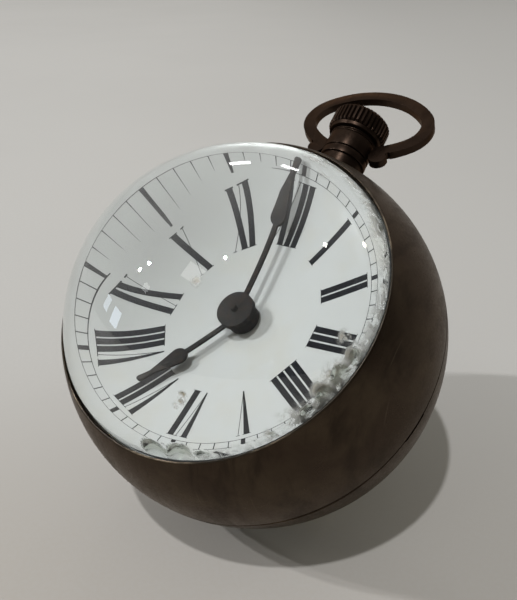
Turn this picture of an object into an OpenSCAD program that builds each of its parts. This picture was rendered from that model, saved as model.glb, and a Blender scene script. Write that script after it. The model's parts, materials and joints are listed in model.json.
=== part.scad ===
// Ball desk clock: a bronze sphere with a thick magnifying glass front and back,
// a watch movement inside, and a pocket watch neck with crown and oval bow on top.
// The clock is drawn about the centre of its ball, with the dial facing +Z and
// twelve o'clock towards +Y, and is then leaned back onto the ground flat of its rear glass.

/* [Ball case] */
// Outer diameter of the ball
ball_d = 64; // [60:1:68]
// Thickness of the spun shell
wall = 1.2; // [1:0.1:1.4]
// Diameter of the front and back openings
opening_d = 54; // [53:0.5:55]
// Height of the dial's facing direction above the horizon, in degrees
lean = 51.3; // [45:0.1:58]
// Width of the thumb nail notch on the seam
nail_w = 5; // [3:0.5:8]
// Place of that notch round the seam, in degrees from three o'clock towards twelve
nail_at = -10; // [-60:1:60]

/* [Glass] */
// Radius of curvature of the domed glasses
glass_r = 30.2; // [30:0.1:31]
// Gap between a glass and the lip of its opening
glass_gap = 0.25; // [0.1:0.05:0.4]
// Depth of the hollow ground into the flat side of a glass, over the hands
hollow_h = 4.9; // [4.7:0.1:5]
// Diameter of that hollow
hollow_d = 45.4; // [44.8:0.2:46]
// Diameter of the flat that is ground on the rear glass to stand on
foot_d = 11; // [8:0.5:13]

/* [Dial and hands] */
// Height of the dial's face above the middle of the ball
dial_z = 8.6; // [8.4:0.1:8.8]
// Thickness of the enamelled dial
dial_t = 0.8; // [0.6:0.1:0.9]
// Diameter of the dial
dial_d = 52; // [50:0.5:53]
// Length of the minute hand
minute_len = 18.9; // [18:0.1:19.4]
// Length of the hour hand
hour_len = 13.6; // [13:0.1:14.5]
// Clock angle of the minute hand as stored, in degrees
minute_at = 357; // [0:0.5:360]
// Clock angle of the hour hand as stored, in degrees
hour_at = 212; // [0:0.5:360]

/* [Pendant] */
// Diameter of the neck
neck_d = 8.9; // [8.4:0.1:9]
// Distance of the bow's pivots from the middle of the ball
pivot_s = 39.1; // [38.9:0.1:39.3]
// Diameter of the crown over its flutes
crown_d = 11.1; // [10.6:0.1:11.5]
// Height of the crown's fluted part
crown_h = 3.8; // [3.6:0.1:4.6]
// Number of flutes round the crown
flutes = 40; // [30:1:48]
// How far the crown pulls out
pull = 1.5; // [1:0.1:1.5]
// Overall width of the bow
bow_w = 26.3; // [25.5:0.1:28]
// Overall height of the bow's oval
bow_h = 19.8; // [19:0.1:20.4]
// Width of the bow's band
bow_band = 2.4; // [2:0.1:2.6]
// Thickness of the bow's plate
bow_t = 1.5; // [1.4:0.1:1.8]
// How far the bow leans back as stored, in degrees
bow_lean = 14; // [5:1:18]

/* [Movement] */
// Diameter of the movement's plates
plate_d = 43; // [42.6:0.1:43.4]
// Thickness of the main plate
plate_t = 2; // [1.8:0.1:2]
// Thickness of the train plate
train_plate_t = 1.6; // [1.4:0.1:1.6]
// Diameter of the balance wheel
balance_d = 10.8; // [10:0.1:10.8]
// Turns of the hairspring
coil_turns = 5; // [4:1:6]

/* [Hidden] */
$fn = 96;

// Colours
bronze = [0.24, 0.19, 0.14];
dark_bronze = [0.19, 0.15, 0.12];
clear_glass = [0.80, 0.88, 0.82, 0.45];
enamel = [0.88, 0.90, 0.85];
blued = [0.10, 0.09, 0.10];
gilt = [0.72, 0.58, 0.32];
steel = [0.62, 0.63, 0.65];
cut = 0.05;

// Ball and openings
ball_r = ball_d / 2;
inner_r = ball_r - wall;
lip_r = opening_d / 2;
lip_z = sqrt(ball_r * ball_r - lip_r * lip_r);
lip_t = 0.25;
seam_gap = 0.06;
spigot_h = 1.6;
spigot_t = 0.7;
spigot_play = 0.1;
seat_step = 1;
seat_z = lip_z - 2.1;
boss_r = neck_d / 2 + 1;

// Glasses
glass_edge_r = lip_r - lip_t - glass_gap;
glass_c = lip_z - sqrt(glass_r * glass_r - glass_edge_r * glass_edge_r);
glass_flange_r = glass_edge_r + seat_step;
glass_flat_z = dial_z + cut;
hollow_r = (hollow_d * hollow_d / 4 + hollow_h * hollow_h) / (2 * hollow_h);
foot_drop = sqrt(glass_r * glass_r - foot_d * foot_d / 4);
ball_y = -glass_c * cos(lean);
ball_z = glass_c * sin(lean) + foot_drop;

// Stack of the movement, from the dial back
dial_back = dial_z - dial_t;
main_top = 5.2;
main_back = main_top - plate_t;
train_space = 4.6;
train_top = main_back - train_space;
train_back = train_top - train_plate_t;
plate_r = plate_d / 2;
pivot_play = 0.05;
pivot_r = 0.3;
arbor_r = 0.5;
shake = 0.06;
top_pivot = 0.9;
pillar_p = [[15.5, 9.5], [13.5, -12.5], [-1.5, -18.4], [8.5, 16.5], [-19.2, -3.2]];
pillar_r = 1.5;
clamp_at = [20, 250, 320];
clamp_r = plate_r + 0.9;

// Heights of the hands above the dial
hand_t = 0.2;
hour_lift = 0.85;
minute_lift = 1.3;
tip_lift = 0.5;
bend_from = 14.5;
hub_r = 2.3;
hub_h = 0.5;
hub_pin_r = 0.4;
hub_pin_h = 0.45;
boss_in_r = 1.95;
boss_low = 0.12;
boss_high = 1.2;
minute_z = dial_z + minute_lift;

// Outlines of the hands: stem, rounded shoulder, tapering blade, narrow bar, flared tip
stem_w = 0.6;
bar_w = 0.5;
tip_w = 0.75;
minute_shoulder = 11;
minute_blade_w = 2;
minute_bar = 16.7;
hour_shoulder = 7.4;
hour_blade_w = 2.1;
hour_bar = 11.9;

// Motion work: cannon pinion, minute wheel and hour wheel
cannon_teeth = 12;
minute_teeth = 36;
minute_pinion_teeth = 10;
hour_teeth = 40;
motion_a = 4.8;
motion_at = -60;
cannon_m = 2 * motion_a / (cannon_teeth + minute_teeth);
hour_m = 2 * motion_a / (minute_pinion_teeth + hour_teeth);
motion_z = main_top + 0.15;
motion_t = 0.45;
cannon_r = 0.85;
hour_pipe_r = 1.4;
stud_r = 0.4;
dial_hole_r = 1.7;
hour_wheel_z = motion_z + motion_t + 0.12;

// Going train: teeth, sizes and places
tooth_tip = 0.08;
tooth_root = 0.27;
tooth_add = 0.75;
tooth_ded = 1.15;
barrel_p = [-9.35, 5.6];
barrel_teeth = 75;
centre_pinion_teeth = 12;
barrel_m = 2 * norm(barrel_p) / (barrel_teeth + centre_pinion_teeth);
barrel_z = train_top + 0.5;
barrel_h = 2.6;
barrel_drum_r = barrel_teeth * barrel_m / 2 - 2 * barrel_m;
centre_teeth = 64;
third_pinion_teeth = 8;
third_m = 0.2;
third_a = third_m * (centre_teeth + third_pinion_teeth) / 2;
third_at = -35;
third_p = third_a * [cos(third_at), sin(third_at)];
third_teeth = 60;
fourth_pinion_teeth = 8;
fourth_m = 0.18;
fourth_a = fourth_m * (third_teeth + fourth_pinion_teeth) / 2;
fourth_at = -100;
fourth_p = third_p + fourth_a * [cos(fourth_at), sin(fourth_at)];
fourth_teeth = 56;
escape_pinion_teeth = 8;
escape_m = 0.17;
escape_a = escape_m * (fourth_teeth + escape_pinion_teeth) / 2;
escape_at = 200;
escape_p = fourth_p + escape_a * [cos(escape_at), sin(escape_at)];
escape_teeth = 15;
escape_r = 3;
wheel_t = 0.4;
centre_wheel_z = main_back - 0.9;
third_wheel_z = centre_wheel_z - 1.1;
fourth_wheel_z = third_wheel_z - 1.1;
escape_wheel_z = fourth_wheel_z - 0.9;

// Turns that put the wheels in mesh as stored
centre_turn = 0;
crown_wheel_turn = 0;
barrel_turn = mesh(atan2(barrel_p[1], barrel_p[0]), centre_turn, centre_pinion_teeth, barrel_teeth);
third_turn = mesh(third_at, centre_turn, centre_teeth, third_pinion_teeth);
fourth_turn = mesh(fourth_at, third_turn, third_teeth, fourth_pinion_teeth);
escape_turn = mesh(escape_at, fourth_turn, fourth_teeth, escape_pinion_teeth);
minute_wheel_turn = mesh(motion_at, 0, cannon_teeth, minute_teeth);

// Escapement and balance
balance_p = [-8.8, -7.2];
balance_z = train_top - 1.6;
balance_t = 1;
balance_r = balance_d / 2;
balance_rim = 0.8;
beat_v = balance_p - escape_p;
beat_at = atan2(beat_v[1], beat_v[0]);
pallet_a = 4.3;
pallet_p = escape_p + pallet_a * [cos(beat_at), sin(beat_at)];
lever_len = 3.9;
roller_r = 1.1;
pallet_foot_p = [-5.6, -16];
balance_foot_p = [-15.6, -11];
pallet_cock_t = 0.45;
pallet_cock_z = escape_wheel_z - 0.1 - pallet_cock_t;
cock_z = balance_z - 1.5;
cock_t = 1.1;
balance_room_r = balance_r + 1.2;
balance_gate = 1.9 * balance_room_r;
coil_in = 0.75;
coil_out = 3.2;
coil_w = 0.14;
coil_steps = 18;
coil_t = [for (i = [0 : coil_turns * coil_steps]) i / coil_steps];

// Winding work
crown_wheel_p = [0, 11];
crown_wheel_teeth = 22;
ratchet_teeth = 32;
wind_a = norm(barrel_p - crown_wheel_p);
wind_m = 2 * wind_a / (crown_wheel_teeth + ratchet_teeth);
wind_at = atan2(barrel_p[1] - crown_wheel_p[1], barrel_p[0] - crown_wheel_p[0]);
wind_t = 0.8;
wind_z = train_back - 0.2 - wind_t;
stem_r = 1;
stem_in = 13.4;
stem_pinion_s = 15.2;
stem_pinion_h = 2;
stem_pinion_r = 3;
stem_pinion_teeth = 14;
pinion_room = 0.6;
click_p = [-17.2, 10.6];
click_turn = -38;

// Neck, crown and bow, by distance from the middle of the ball
neck_r = neck_d / 2;
neck_bore_r = 2.6;
shank_r = 2.9;
neck_low = ball_r - 1.5;
waist_r = neck_r - 0.45;
collar_s = 36.3;
collar_top = 37.65;
groove_r = neck_r - 0.35;
groove_h = 0.3;
ring_s = 41;
ring_h = 0.25;
line_h = 0.12;
neck_top = 41.75;
crown_s = 42.6;
crown_r = crown_d / 2;
crown_ring_r = crown_r - 0.55;
crown_ring_h = 0.65;
crown_dome_r = 26;
crown_bore_h = 2.5;
flute_h = 0.38;
crown_edge = 0.4;
pin_r = 0.4;
foot_x = neck_r + 0.3;
lobe_r = 1.65;
lobe_x = foot_x + lobe_r;
lobe_drop = 0.5;
nick_r = 0.5;
bow_mid = 8.45;
bow_end_r = 7.4;

// Puts the whole clock on its ground flat, leaning back
module stand() {
    translate([0, ball_y, ball_z]) rotate([90 - lean, 0, 0]) children();
}

// Turns a shape drawn along +Z so that it points to twelve o'clock
module to_twelve() {
    rotate([-90, 0, 0]) children();
}

// A straight-flanked tooth is drawn by its root and tip corners
function polar(r, a) = [r * cos(a), r * sin(a)];
function tooth(r, m, a, p) = [
    polar(r - tooth_ded * m, a - tooth_root * p), polar(r + tooth_add * m, a - tooth_tip * p),
    polar(r + tooth_add * m, a + tooth_tip * p), polar(r - tooth_ded * m, a + tooth_root * p)];
function gear_points(teeth, m) = [for (i = [0 : teeth - 1], q = tooth(teeth * m / 2, m,
    i * 360 / teeth, 360 / teeth)) q];

// The turn that puts a gear in mesh with another that stands at an angle to it
function mesh(at, turn, teeth, next) = at + 180 + (at - turn) * teeth / next + 180 / next;

module gear(teeth, m, h, turn = 0) {
    rotate(turn) linear_extrude(h) polygon(gear_points(teeth, m));
}

// A flat wheel with teeth, a rim and four crossings, as watch wheels have
module crossed_wheel(teeth, m, h, turn, rim, arm) {
    r = teeth * m / 2 - tooth_ded * m - rim;
    difference() {
        gear(teeth, m, h, turn);
        for (a = [0 : 90 : 270]) {
            rotate(turn + a) intersection() {
                translate([0, 0, -cut]) cylinder(r = r, h = h + 2 * cut);
                translate([arm / 2 + 0.6, arm / 2 + 0.6, -cut]) cube([r, r, h + 2 * cut]);
            }
        }
    }
}

// An arbor between two shoulders, with a thinner pivot beyond each
module arbor(low, high, low_pivot, r = arbor_r) {
    translate([0, 0, low]) cylinder(r = r, h = high - low);
    translate([0, 0, low - low_pivot]) cylinder(r = pivot_r, h = high - low + low_pivot + top_pivot);
}

// A cheese-head screw with its slot, head down towards -Z
module screw(p, z, head_r, head_h, shank_h, slot_at = 0) {
    translate([p[0], p[1], z]) {
        difference() {
            translate([0, 0, -head_h]) cylinder(r = head_r, h = head_h);
            rotate(slot_at) translate([-head_r, -0.15, -head_h - cut]) cube([2 * head_r, 0.3, head_h / 2]);
        }
        cylinder(r = head_r / 2, h = shank_h);
    }
}

// Half of the spun ball, open at its pole, with the seat that its glass is pushed into
module half_shell() {
    difference() {
        intersection() {
            sphere(r = ball_r);
            translate([0, 0, seam_gap / 2]) cylinder(r = ball_r, h = lip_z - seam_gap / 2);
        }
        intersection() {
            sphere(r = inner_r);
            translate([0, 0, -cut]) cylinder(r = ball_r, h = seat_z + 2 * cut);
        }
        translate([0, 0, -cut]) cylinder(r = glass_flange_r + glass_gap / 2, h = seat_z + 2 * cut);
        cylinder(r = lip_r - lip_t, h = ball_r);
    }
}

// A thick domed glass with a stepped edge and a hollow over the hands
module domed_glass() {
    difference() {
        intersection() {
            translate([0, 0, glass_c]) sphere(r = glass_r);
            union() {
                translate([0, 0, glass_flat_z])
                    cylinder(r = glass_flange_r, h = seat_z - cut - glass_flat_z);
                translate([0, 0, glass_flat_z])
                    cylinder(r = glass_edge_r, h = glass_c + glass_r);
            }
        }
        translate([0, 0, glass_flat_z + hollow_h - hollow_r]) sphere(r = hollow_r);
    }
}

// A ring that fills the shell between two heights
module shell_ring(z0, z1, bore_r) {
    difference() {
        intersection() {
            sphere(r = inner_r - spigot_play / 2);
            translate([0, 0, z0]) cylinder(r = ball_r, h = z1 - z0);
        }
        translate([0, 0, z0 - cut]) cylinder(r = bore_r, h = z1 - z0 + 2 * cut);
    }
}

// The pad on the shell that the neck is screwed into
module neck_pad(r) {
    to_twelve() cylinder(r = r, h = ball_r);
}

module front_case() {
    color(bronze) stand() difference() {
        union() {
            half_shell();
            difference() {
                translate([0, 0, -spigot_h]) cylinder(r = inner_r - spigot_play, h = spigot_h + seam_gap);
                translate([0, 0, -spigot_h - cut])
                    cylinder(r = inner_r - spigot_t, h = spigot_h + seam_gap + 2 * cut);
            }
            difference() {
                intersection() {
                    sphere(r = inner_r + cut);
                    cylinder(r = ball_r, h = spigot_t);
                }
                translate([0, 0, -cut]) cylinder(r = inner_r - spigot_t, h = spigot_t + 2 * cut);
            }
            intersection() {
                neck_pad(boss_r);
                difference() {
                    sphere(r = ball_r);
                    sphere(r = inner_r - spigot_t);
                }
            }
        }
        to_twelve() cylinder(r = shank_r + pivot_play, h = ball_r + 1);
    }
}

module back_case() {
    color(bronze) stand() difference() {
        mirror([0, 0, 1]) half_shell();
        neck_pad(boss_r + spigot_play);
        rotate(nail_at) translate([ball_r - 0.5, -nail_w / 2, -0.5]) cube([1, nail_w, 1]);
    }
}

module front_glass() {
    color(clear_glass) stand() domed_glass();
}

module rear_glass() {
    color(clear_glass) difference() {
        stand() mirror([0, 0, 1]) domed_glass();
        translate([-ball_r, -ball_r, -ball_r]) cube([ball_d, ball_d, ball_r]);
    }
}

module rear_ring() {
    color(gilt) stand() mirror([0, 0, 1]) shell_ring(dial_z - 2, dial_z - 0.1, hollow_d / 2 + 0.5);
}

module movement_ring() {
    color(gilt) stand() difference() {
        shell_ring(main_back, dial_back - cut, plate_r + 0.1);
        difference() {
            neck_pad(boss_r + spigot_play);
            sphere(r = inner_r - spigot_t - spigot_play);
        }
        for (a = clamp_at) {
            translate([clamp_r * cos(a), clamp_r * sin(a), main_back - cut]) cylinder(r = 0.85, h = 2);
        }
    }
}

module dog_screws() {
    color(steel) stand() for (a = clamp_at) {
        screw(clamp_r * [cos(a), sin(a)], main_back - cut, 1.6, 0.7, 1.6, a);
    }
}

module dial() {
    color(enamel) stand() difference() {
        translate([0, 0, dial_back]) cylinder(d = dial_d, h = dial_t);
        translate([0, 0, dial_back - cut]) cylinder(r = dial_hole_r, h = dial_t + 2 * cut);
    }
}

module main_plate() {
    color(gilt) stand() difference() {
        union() {
            translate([0, 0, main_back]) cylinder(r = plate_r, h = plate_t);
            for (p = pillar_p) {
                translate([p[0], p[1], train_top]) cylinder(r = pillar_r, h = train_space + cut);
            }
            rotate(motion_at) translate([motion_a, 0, main_top - cut])
                cylinder(r = stud_r, h = 3 * motion_t);
        }
        translate([0, 0, main_back - cut]) cylinder(r = arbor_r + pivot_play, h = plate_t + 2 * cut);
        for (p = [third_p, fourth_p, escape_p, pallet_p, balance_p, barrel_p]) {
            translate([p[0], p[1], main_back - cut]) cylinder(r = pivot_r + pivot_play, h = 1);
        }
        for (p = pillar_p) {
            translate([p[0], p[1], train_top - cut]) cylinder(r = 0.65, h = 2.2);
        }
    }
}

module train_plate() {
    color(gilt) stand() difference() {
        translate([0, 0, train_back]) cylinder(r = plate_r, h = train_plate_t);
        translate([balance_p[0], balance_p[1], train_back - cut])
            cylinder(r = balance_room_r, h = train_plate_t + 2 * cut);
        rotate(atan2(balance_p[1], balance_p[0]))
            translate([norm(balance_p), -balance_gate / 2, train_back - cut])
            cube([plate_r, balance_gate, train_plate_t + 2 * cut]);
        translate([-stem_pinion_r - pinion_room, stem_pinion_s - pinion_room, train_back - cut])
            cube([2 * (stem_pinion_r + pinion_room), stem_pinion_h + pull + 2 * pinion_room,
                train_plate_t + 2 * cut]);
        for (p = [[0, 0], third_p, fourth_p, escape_p]) {
            translate([p[0], p[1], train_back - cut])
                cylinder(r = pivot_r + pivot_play, h = train_plate_t + 2 * cut);
        }
        translate([barrel_p[0], barrel_p[1], train_back - cut])
            cylinder(r = 1.2 + pivot_play, h = train_plate_t + 2 * cut);
        translate([crown_wheel_p[0], crown_wheel_p[1], train_back - cut])
            cylinder(r = 1 + pivot_play, h = train_plate_t + 2 * cut);
        for (p = pillar_p) {
            translate([p[0], p[1], train_back - cut]) cylinder(r = 0.7, h = train_plate_t + 2 * cut);
        }
        translate([click_p[0], click_p[1], train_back - cut]) cylinder(r = 0.7, h = 1);
    }
}

module plate_screws() {
    color(steel) stand() for (i = [0 : len(pillar_p) - 1]) {
        screw(pillar_p[i], train_back - cut, 1.25, 0.6, train_plate_t + 1.5, 35 * i);
    }
}

// A cock: a flat arm from a foot on the main plate to a jewel over a pivot
module cock(foot, tip, z, t, foot_r, tip_r) {
    v = tip - foot;
    difference() {
        union() {
            translate([foot[0], foot[1], z]) cylinder(r = foot_r, h = main_back - z - cut);
            translate([tip[0], tip[1], z]) cylinder(r = tip_r, h = t);
            translate([foot[0], foot[1], z]) rotate(atan2(v[1], v[0]))
                translate([0, -tip_r, 0]) cube([norm(v), 2 * tip_r, t]);
        }
        translate([tip[0], tip[1], z - cut]) cylinder(r = pivot_r + pivot_play, h = t + 2 * cut);
    }
}

module pallet_cock() {
    color(gilt) stand() cock(pallet_foot_p, pallet_p, pallet_cock_z, pallet_cock_t, 1.2, 1);
}

module balance_cock() {
    color(gilt) stand() cock(balance_foot_p, balance_p, cock_z, cock_t, 1.7, 1.6);
}

// The lever stands at mid beat, with both pallet stones just clear of the wheel
module pallet_lever() {
    arm = 2.5;
    color(steel) stand() translate([pallet_p[0], pallet_p[1], 0]) {
        arbor(pallet_cock_z + pallet_cock_t + shake, main_back - shake, pallet_cock_t, 0.4);
        rotate(beat_at) translate([0, 0, escape_wheel_z]) {
            cylinder(r = 0.8, h = wheel_t);
            translate([0, -0.3, 0]) cube([lever_len, 0.6, wheel_t]);
            difference() {
                translate([lever_len - 0.6, -0.7, 0]) cube([0.6, 1.4, wheel_t]);
                translate([lever_len - 0.35, -0.25, -cut]) cube([0.6, 0.5, wheel_t + 2 * cut]);
            }
            for (s = [-1, 1]) {
                rotate(s * 118) {
                    translate([0, -0.35, 0]) cube([arm, 0.7, wheel_t]);
                    translate([arm - 0.5, -s * 0.35 - 0.35, 0]) cube([0.5, 0.7, wheel_t]);
                }
            }
        }
    }
}

// The click: a pawl beside the ratchet wheel on its screw
module click() {
    v = barrel_p - click_p;
    color(steel) stand() translate([click_p[0], click_p[1], wind_z]) {
        cylinder(r = 0.9, h = wind_t);
        cylinder(r = 0.6, h = wind_t + 1);
        rotate(atan2(v[1], v[0]) + click_turn) translate([0, -0.35, 0]) cube([2.6, 0.7, wind_t]);
    }
}

module barrel() {
    color(gilt) stand() translate([barrel_p[0], barrel_p[1], 0]) difference() {
        union() {
            translate([0, 0, barrel_z])
                gear(barrel_teeth, barrel_m, 0.8, barrel_turn);
            translate([0, 0, barrel_z]) cylinder(r = barrel_drum_r, h = barrel_h);
        }
        translate([0, 0, barrel_z - cut]) cylinder(r = 1.3 + pivot_play, h = barrel_h + 2 * cut);
    }
}

module ratchet_wheel() {
    color(steel) stand() translate([barrel_p[0], barrel_p[1], 0]) {
        translate([0, 0, wind_z]) gear(ratchet_teeth, wind_m, wind_t,
            mesh(wind_at, crown_wheel_turn, crown_wheel_teeth, ratchet_teeth));
        translate([0, 0, wind_z]) cylinder(r = 1.2, h = barrel_z + barrel_h + 0.3 - wind_z);
        translate([0, 0, wind_z]) cylinder(r = pivot_r, h = main_back + 0.9 - wind_z);
        difference() {
            translate([0, 0, wind_z - 0.5]) cylinder(r = 2, h = 0.5 + cut);
            translate([-2, -0.2, wind_z - 0.5 - cut]) cube([4, 0.4, 0.3]);
        }
    }
}

module crown_wheel() {
    color(steel) stand() translate([crown_wheel_p[0], crown_wheel_p[1], 0]) {
        translate([0, 0, wind_z]) gear(crown_wheel_teeth, wind_m, wind_t, crown_wheel_turn);
        translate([0, 0, wind_z]) cylinder(r = 1, h = train_top - wind_z - 0.1);
        difference() {
            translate([0, 0, wind_z - 0.5]) cylinder(r = 1.7, h = 0.5 + cut);
            translate([-2, -0.2, wind_z - 0.5 - cut]) cube([4, 0.4, 0.3]);
        }
    }
}

module centre_wheel() {
    color(gilt) stand() {
        translate([0, 0, centre_wheel_z]) crossed_wheel(centre_teeth, third_m, wheel_t, 0, 0.7, 0.8);
        translate([0, 0, barrel_z]) gear(centre_pinion_teeth, barrel_m, 1.2, centre_turn);
        translate([0, 0, barrel_z]) cylinder(r = arbor_r, h = minute_z - barrel_z);
        translate([0, 0, train_back + 0.2]) cylinder(r = pivot_r, h = 3);
    }
}

// A train wheel: its pinion is driven by the wheel before it and its own wheel drives the next
module train_wheel(p, pinion_teeth, pinion_m, pinion_z, teeth, m, wheel_z, turn) {
    translate([p[0], p[1], 0]) {
        translate([0, 0, wheel_z]) crossed_wheel(teeth, m, wheel_t, turn, 0.6, 0.7);
        translate([0, 0, pinion_z - 0.15]) gear(pinion_teeth, pinion_m, wheel_t + 0.3, turn);
        arbor(train_top + shake, main_back - shake, train_plate_t - 0.2);
    }
}

module third_wheel() {
    color(gilt) stand() train_wheel(third_p, third_pinion_teeth, third_m, centre_wheel_z,
        third_teeth, fourth_m, third_wheel_z, third_turn);
}

module fourth_wheel() {
    color(gilt) stand() train_wheel(fourth_p, fourth_pinion_teeth, fourth_m, third_wheel_z,
        fourth_teeth, escape_m, fourth_wheel_z, fourth_turn);
}

// The escape wheel's long pointed teeth lean forward
module escape_wheel() {
    tips = [for (i = [0 : escape_teeth - 1], k = [0 : 2])
        k == 1 ? polar(escape_r, (i + 0.3) * 360 / escape_teeth)
        : polar(escape_r - 0.7, (i + 0.15 + 0.35 * k / 2) * 360 / escape_teeth)];
    color(steel) stand() translate([escape_p[0], escape_p[1], 0]) {
        translate([0, 0, escape_wheel_z]) linear_extrude(wheel_t) polygon(tips);
        translate([0, 0, fourth_wheel_z - 0.15])
            gear(escape_pinion_teeth, escape_m, wheel_t + 0.3, escape_turn);
        arbor(train_top + shake, main_back - shake, train_plate_t - 0.2, 0.4);
    }
}

module balance_wheel() {
    color(gilt) stand() translate([balance_p[0], balance_p[1], 0]) {
        translate([0, 0, balance_z]) difference() {
            cylinder(r = balance_r, h = balance_t);
            translate([0, 0, -cut]) cylinder(r = balance_r - balance_rim, h = balance_t + 2 * cut);
        }
        translate([0, 0, balance_z + 0.2]) intersection() {
            cylinder(r = balance_r - balance_rim / 2, h = 0.5);
            translate([-balance_r, -0.5, 0]) cube([balance_d, 1, 0.5]);
        }
        for (a = [15 : 30 : 345]) {
            rotate(a) translate([balance_r - cut, 0, balance_z + balance_t / 2]) rotate([0, 90, 0])
                cylinder(r = 0.35, h = 0.5);
        }
        arbor(cock_z + cock_t + shake, main_back - shake, cock_t - 0.2);
        translate([0, 0, escape_wheel_z]) cylinder(r = roller_r, h = wheel_t);
    }
}

// The hairspring: a flat spiral ribbon between its collet and its outer end
function coil_r(t) = coil_in + (coil_out - coil_in) * t / coil_turns;
module hairspring() {
    inside = [for (t = coil_t) polar(coil_r(t) - coil_w / 2, 360 * t)];
    outside = [for (t = coil_t) polar(coil_r(t) + coil_w / 2, 360 * t)];
    back = [for (i = [len(outside) - 1 : -1 : 0]) outside[i]];
    color(steel) stand() translate([balance_p[0], balance_p[1], balance_z - 0.3]) difference() {
        union() {
            linear_extrude(0.35) polygon(concat(inside, back));
            cylinder(r = coil_in, h = 0.35);
        }
        translate([0, 0, -cut]) cylinder(r = arbor_r + 0.02, h = 1);
    }
}

module cannon_pinion() {
    color(blued) stand() difference() {
        union() {
            translate([0, 0, motion_z]) gear(cannon_teeth, cannon_m, motion_t, 0);
            translate([0, 0, motion_z]) cylinder(r = cannon_r, h = minute_z - motion_z);
        }
        translate([0, 0, motion_z - cut]) cylinder(r = arbor_r + 0.02, h = minute_z);
    }
}

module minute_wheel() {
    color(gilt) stand() rotate(motion_at) translate([motion_a, 0, 0]) difference() {
        union() {
            translate([0, 0, motion_z])
                gear(minute_teeth, cannon_m, motion_t, minute_wheel_turn - motion_at);
            translate([0, 0, motion_z])
                gear(minute_pinion_teeth, hour_m, 2 * motion_t + 0.1, 180 - 180 / minute_pinion_teeth);
        }
        translate([0, 0, motion_z - cut]) cylinder(r = stud_r + pivot_play, h = 2);
    }
}

module hour_wheel() {
    color(gilt) stand() difference() {
        union() {
            translate([0, 0, hour_wheel_z]) gear(hour_teeth, hour_m, motion_t, motion_at);
            translate([0, 0, hour_wheel_z]) 
                cylinder(r = hour_pipe_r, h = dial_z + hour_lift - hour_wheel_z);
        }
        translate([0, 0, hour_wheel_z - cut]) 
            cylinder(r = cannon_r + pivot_play, h = minute_z - hour_wheel_z);
    }
}

// Outline of a hand pointing to +Y
module hand_outline(len, shoulder, blade_w, bar_at) {
    translate([-stem_w / 2, 0]) square([stem_w, shoulder + blade_w / 2]);
    hull() {
        translate([0, shoulder + blade_w / 2]) circle(d = blade_w);
        translate([0, bar_at]) circle(d = bar_w);
    }
    hull() {
        translate([0, bar_at]) circle(d = bar_w);
        translate([0, len - tip_w / 2]) circle(d = tip_w);
    }
}

// The hour hand, on a boss that fits over the hour wheel's pipe
module hour_hand() {
    color(blued) stand() rotate(-hour_at) translate([0, 0, dial_z]) difference() {
        union() {
            translate([0, 0, hour_lift]) linear_extrude(hand_t)
                hand_outline(hour_len, hour_shoulder, hour_blade_w, hour_bar);
            translate([0, 0, boss_low]) cylinder(r = boss_in_r, h = boss_high - boss_low);
        }
        cylinder(r = hour_pipe_r + 0.02, h = hour_lift);
        cylinder(r = cannon_r + pivot_play, h = boss_high + cut);
    }
}

// The minute hand, under a flat round hub with a small pin; its tip bends towards the dial
module minute_hand() {
    side = [[-hub_r, 0], [bend_from, 0], [minute_len, tip_lift - minute_lift],
        [minute_len, tip_lift - minute_lift + hand_t], [bend_from, hand_t], [-hub_r, hand_t]];
    color(blued) stand() rotate(-minute_at) translate([0, 0, minute_z]) {
        intersection() {
            translate([0, 0, -minute_lift]) linear_extrude(2 * minute_lift)
                hand_outline(minute_len, minute_shoulder, minute_blade_w, minute_bar);
            rotate([90, 0, 90]) translate([0, 0, -hub_r]) linear_extrude(2 * hub_r) polygon(side);
        }
        cylinder(r = hub_r, h = hub_h);
        translate([0, 0, hub_h - cut]) cylinder(r = hub_pin_r, h = hub_pin_h + cut);
    }
}

// The neck: a shank through the shell, a waist, a collar, a sleeve and two thin top rings
module neck() {
    color(dark_bronze) stand() difference() {
        union() {
            difference() {
                to_twelve() rotate_extrude() polygon([[0, neck_low], [waist_r, neck_low],
                    [waist_r, collar_s], [neck_r - line_h, collar_s], [neck_r, collar_s + line_h],
                    [neck_r, collar_top], [groove_r, collar_top], [groove_r, collar_top + groove_h],
                    [neck_r, collar_top + groove_h], [neck_r, ring_s], [groove_r, ring_s],
                    [groove_r, ring_s + line_h], [neck_r, ring_s + line_h],
                    [neck_r, ring_s + line_h + ring_h], [groove_r, ring_s + line_h + ring_h],
                    [groove_r, ring_s + 2 * line_h + ring_h], [neck_r, ring_s + 2 * line_h + ring_h],
                    [neck_r, neck_top - line_h], [neck_r - line_h, neck_top], [0, neck_top]]);
                sphere(r = ball_r + 0.02);
            }
            to_twelve() translate([0, 0, inner_r - 1.6]) cylinder(r = shank_r, h = 6);
        }
        to_twelve() cylinder(r = neck_bore_r, h = neck_top + 1);
        translate([-ball_r, pivot_s, 0]) rotate([0, 90, 0]) cylinder(r = pin_r + 0.02, h = ball_d);
    }
}

module bow_pins() {
    color(dark_bronze) stand() for (s = [-1, 1]) {
        translate([s * (neck_bore_r + 0.15), pivot_s, 0]) rotate([0, s * 90, 0])
            cylinder(r = pin_r, h = lobe_x + 0.6 - neck_bore_r);
    }
}

// A four-centred oval of a width and height, with round ends
module oval(w, h, end_r) {
    dx = w / 2 - end_r;
    dy = h / 2 - end_r;
    c = (dx * dx - dy * dy) / (2 * dy);
    r = h / 2 + c;
    touch = dx + end_r * dx / (r - end_r);
    intersection() {
        translate([0, c]) circle(r = r, $fn = 200);
        translate([0, -c]) circle(r = r, $fn = 200);
        square([2 * touch, h], center = true);
    }
    for (s = [-1, 1]) {
        translate([s * dx, 0]) circle(r = end_r);
    }
}

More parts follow.
